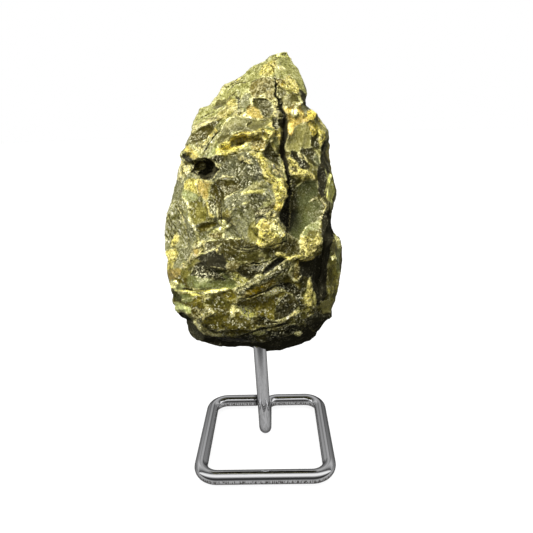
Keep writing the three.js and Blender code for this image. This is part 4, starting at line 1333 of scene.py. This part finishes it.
def rod_stations():
    """Points along the rod's middle, with the way it runs there."""
    stations = []

    def straight(point, way):
        stations.append((Vector(point), Vector(way).normalized()))

    def bend(start, end, centre):
        spoke = Vector(start) - Vector(centre)
        last = Vector(end) - Vector(centre)
        axis = spoke.cross(last).normalized()
        for step in range(BEND_STATIONS + 1):
            turned = Matrix.Rotation(spoke.angle(last) * step / BEND_STATIONS, 3, axis) @ spoke
            straight(Vector(centre) + turned, axis.cross(turned))

    z = ROD / 2
    half = (BASE_SIDE - ROD) / 2
    inner = half - CORNER_RADIUS
    x, y = POST_AT
    for along in (0, SHADED_END, SHADED_END + SHADE_FADE):
        straight((FREE_END - along, half, z), (-1, 0, 0))
    bend((-inner, half, z), (-half, inner, z), (-inner, inner, z))
    bend((-half, -inner, z), (-inner, -half, z), (-inner, -inner, z))
    bend((inner, -half, z), (half, -inner, z), (inner, -inner, z))
    bend((half, inner, z), (inner, half, z), (inner, inner, z))
    bend((x + POST_BEND, half, z), (x, half - POST_BEND, z), (x + POST_BEND, half - POST_BEND, z))
    bend((x, y + POST_BEND, z), (x, y, z + POST_BEND), (x, y + POST_BEND, z + POST_BEND))
    straight((x + POST_LEAN, y, POST_TOP), (POST_LEAN, 0, POST_TOP))
    return stations


def rings_along(stations):
    """Each ring's middle, the way the rod runs there, and its share of the rod's radius."""
    (start, first_way), *others, (end, last_way) = stations
    rings = [(start + first_way * along, first_way, share) for along, share in END_ROUNDING]
    rings += [(point, way, 1.0) for point, way in others]
    rings += [(end - last_way * along, last_way, share) for along, share in reversed(END_ROUNDING)]
    return rings


def sweep(rings):
    """A closed round rod through the rings, from the middle of the base."""
    wire = bmesh.new()
    side = Vector((0, 0, 1))
    loops = []
    for point, way, share in rings:
        side = (side - way * side.dot(way)).normalized()
        other = way.cross(side)
        loop = []
        for k in range(ROD_SIDES):
            turn = 2 * math.pi * k / ROD_SIDES
            spoke = side * math.cos(turn) + other * math.sin(turn)
            loop.append(wire.verts.new((point + Vector(MIDDLE) + spoke * ROD / 2 * share) * MM))
        loops.append(loop)
    for one, following in zip(loops, loops[1:]):
        for k in range(ROD_SIDES):
            after = (k + 1) % ROD_SIDES
            wire.faces.new((one[k], one[after], following[after], following[k]))
    wire.faces.new(list(reversed(loops[0])))
    wire.faces.new(loops[-1])
    bmesh.ops.recalc_face_normals(wire, faces=wire.faces)
    mesh = bpy.data.meshes.new("chrome_wire")
    wire.to_mesh(mesh)
    wire.free()
    return mesh


def make_wire():
    stations = rod_stations()
    mesh = sweep(rings_along(stations))
    along, across, _ = (points_of(mesh) - MIDDLE - np.array(stations[0][0])).T
    beside_end = (along < END_SLACK) * (np.abs(across) < ROD)
    # painted shade on the rod beside its free end
    store(mesh, "end_shade", ramp(-SHADED_END, SHADE_FADE - SHADED_END, along) * beside_end)
    shade_smooth(mesh, WIRE_SHARP)
    mesh.materials.append(chrome_material())
    rod = bpy.data.objects.new("chrome_wire", mesh)
    bpy.context.scene.collection.objects.link(rod)
    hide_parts("wire_stand")
    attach(rod, "root")


# ---- the floor ----
FLOOR_RADIUS = 4000
FLOOR_SIDES = 96
FLOOR_DROP = 0.2  # how far below the wire it lies
FLOOR_GREY = 0.85


def add_floor():
    circle = bmesh.new()
    bmesh.ops.create_circle(circle, cap_ends=True, segments=FLOOR_SIDES, radius=FLOOR_RADIUS * MM)
    mesh = bpy.data.meshes.new("floor")
    circle.to_mesh(mesh)
    circle.free()
    grey = (FLOOR_GREY, FLOOR_GREY, FLOOR_GREY, 1)
    pale = Shader("pale_floor").finished({"Base Color": grey, "Roughness": 0.9, "Specular IOR Level": 0.0})
    mesh.materials.append(pale)
    floor = bpy.data.objects.new("floor", mesh)
    floor.location.z = (MIDDLE[2] - FLOOR_DROP) * MM
    bpy.context.scene.collection.objects.link(floor)
    floor.visible_diffuse = False
    floor.visible_glossy = False
    return floor


# ---- what lies all round ----
# What polished metal mirrors, in a turn from the front horizon over the top to the back and underneath:
# degrees, brightness.
SURROUNDINGS = [(-180, 0.24), (-132, 0.36), (-80, 0.36), (-56, 0.42), (-37, 0.48), (-19, 0.42), (-11, 0.2),
                (-4, 0.05), (15, 0.03), (27, 0.12), (41, 0.65), (54, 1.1), (72, 1), (83, 0.65), (92, 0.12),
                (99, 0.06), (108, 0.2), (120, 0.4), (132, 0.55), (143, 0.4), (153, 0.22), (170, 0.24)]
# What that is multiplied by where it lies behind: how far to the right, factor.
SIDEWAYS = [(-1, 1.6), (-0.5, 1.6), (-0.3, 0.5), (-0.16, 1), (0.14, 1), (0.24, 0.3), (0.32, 0.4), (0.5, 1)]
BEHIND = (0.5, 0.8)  # how far back a direction goes where that begins and where it is full
# What all else is lit by from all round: height of the direction, brightness.
SKY = [(-1.0, 0.01), (-0.3, 0.03), (0.1, 0.12), (1.0, 0.32)]
WHITE = (1, 1, 1, 1)


def greys(shade, value, low, high, stops):
    """The brightness that stops give for a value from low to high."""
    band = shade.node("ValToRGB", {0: shade.between(value, low, high)})
    elements = band.color_ramp.elements
    for index, (place, light) in enumerate(stops):
        at = (place - low) / (high - low)
        stop = elements[index] if index < 2 else elements.new(at)
        stop.position = at
        stop.color = (light, light, light, 1)
    return band.outputs["Color"]


def add_surroundings():
    """A white ground for the camera, dark and bright bands for polished metal, and a dim sky for the rest."""
    world = bpy.data.worlds.new("studio")
    bpy.context.scene.world = world
    world.use_nodes = True
    shade = Nodes(world.node_tree)
    x, y, z = shade.node("SeparateXYZ", {0: shade.node("TexCoord").outputs["Generated"]}).outputs
    degrees = shade.math("DEGREES", shade.math("ARCTAN2", z, shade.product(y, -1.0)))
    bands = greys(shade, degrees, -180, 180, SURROUNDINGS)
    mirrored = shade.blend(shade.between(y, *BEHIND), bands, greys(shade, x, -1, 1, SIDEWAYS), "MULTIPLY")
    path = shade.node("LightPath").outputs
    unseen = shade.blend(path["Is Singular Ray"], greys(shade, z, -1, 1, SKY), mirrored)
    shown = shade.blend(path["Is Camera Ray"], unseen, WHITE)
    shade.put(world.node_tree.nodes["Background"].inputs["Color"], shown)


# ---- lights: places and sizes in metres ----
AIM = (0, 0, 0.085)
# The square panels that light the stone: place, side, watts. The stone doesn't mirror the last.
PANELS = {
    "key": ((-0.26, -0.46, 0.7), 0.18, 10.5),
    "fill": ((0.1, -0.7, 0.3), 0.4, 1.3),
    "back_fill": ((0.25, 0.65, 0.35), 0.5, 5.0),
}
UNMIRRORED = "back_fill"
# The suns that light the floor: watts per square metre, and width in degrees. The last casts no shadow.
FLOOR_SUNS = {"soft_floor_light": (0.5, 120), "even_floor_light": (3.2, 10)}
UNSHADED = "even_floor_light"


def add_light(name, kind, power, only):
    """A light that falls on one object alone."""
    data = bpy.data.lights.new(name, kind)
    data.energy = power
    light = bpy.data.objects.new(name, data)
    bpy.context.scene.collection.objects.link(light)
    receivers = bpy.data.collections.new(name + "_receivers")
    receivers.objects.link(only)
    light.light_linking.receiver_collection = receivers
    return light


def add_lights(floor, stone):
    for name, (place, side, power) in PANELS.items():
        panel = add_light(name, "AREA", power, stone)
        panel.data.size = side
        panel.location = Vector(place)
        panel.rotation_euler = (Vector(AIM) - Vector(place)).to_track_quat("-Z", "Y").to_euler()
        panel.visible_glossy = name != UNMIRRORED
    for name, (power, width) in FLOOR_SUNS.items():
        sun = add_light(name, "SUN", power, floor)
        sun.data.angle = math.radians(width)
        if name == UNSHADED:
            sun.light_linking.blocker_collection = sun.light_linking.receiver_collection


add_camera()
add_surroundings()
make_wire()
add_lights(add_floor(), make_stone())
bpy.context.scene.view_settings.view_transform = "Standard"
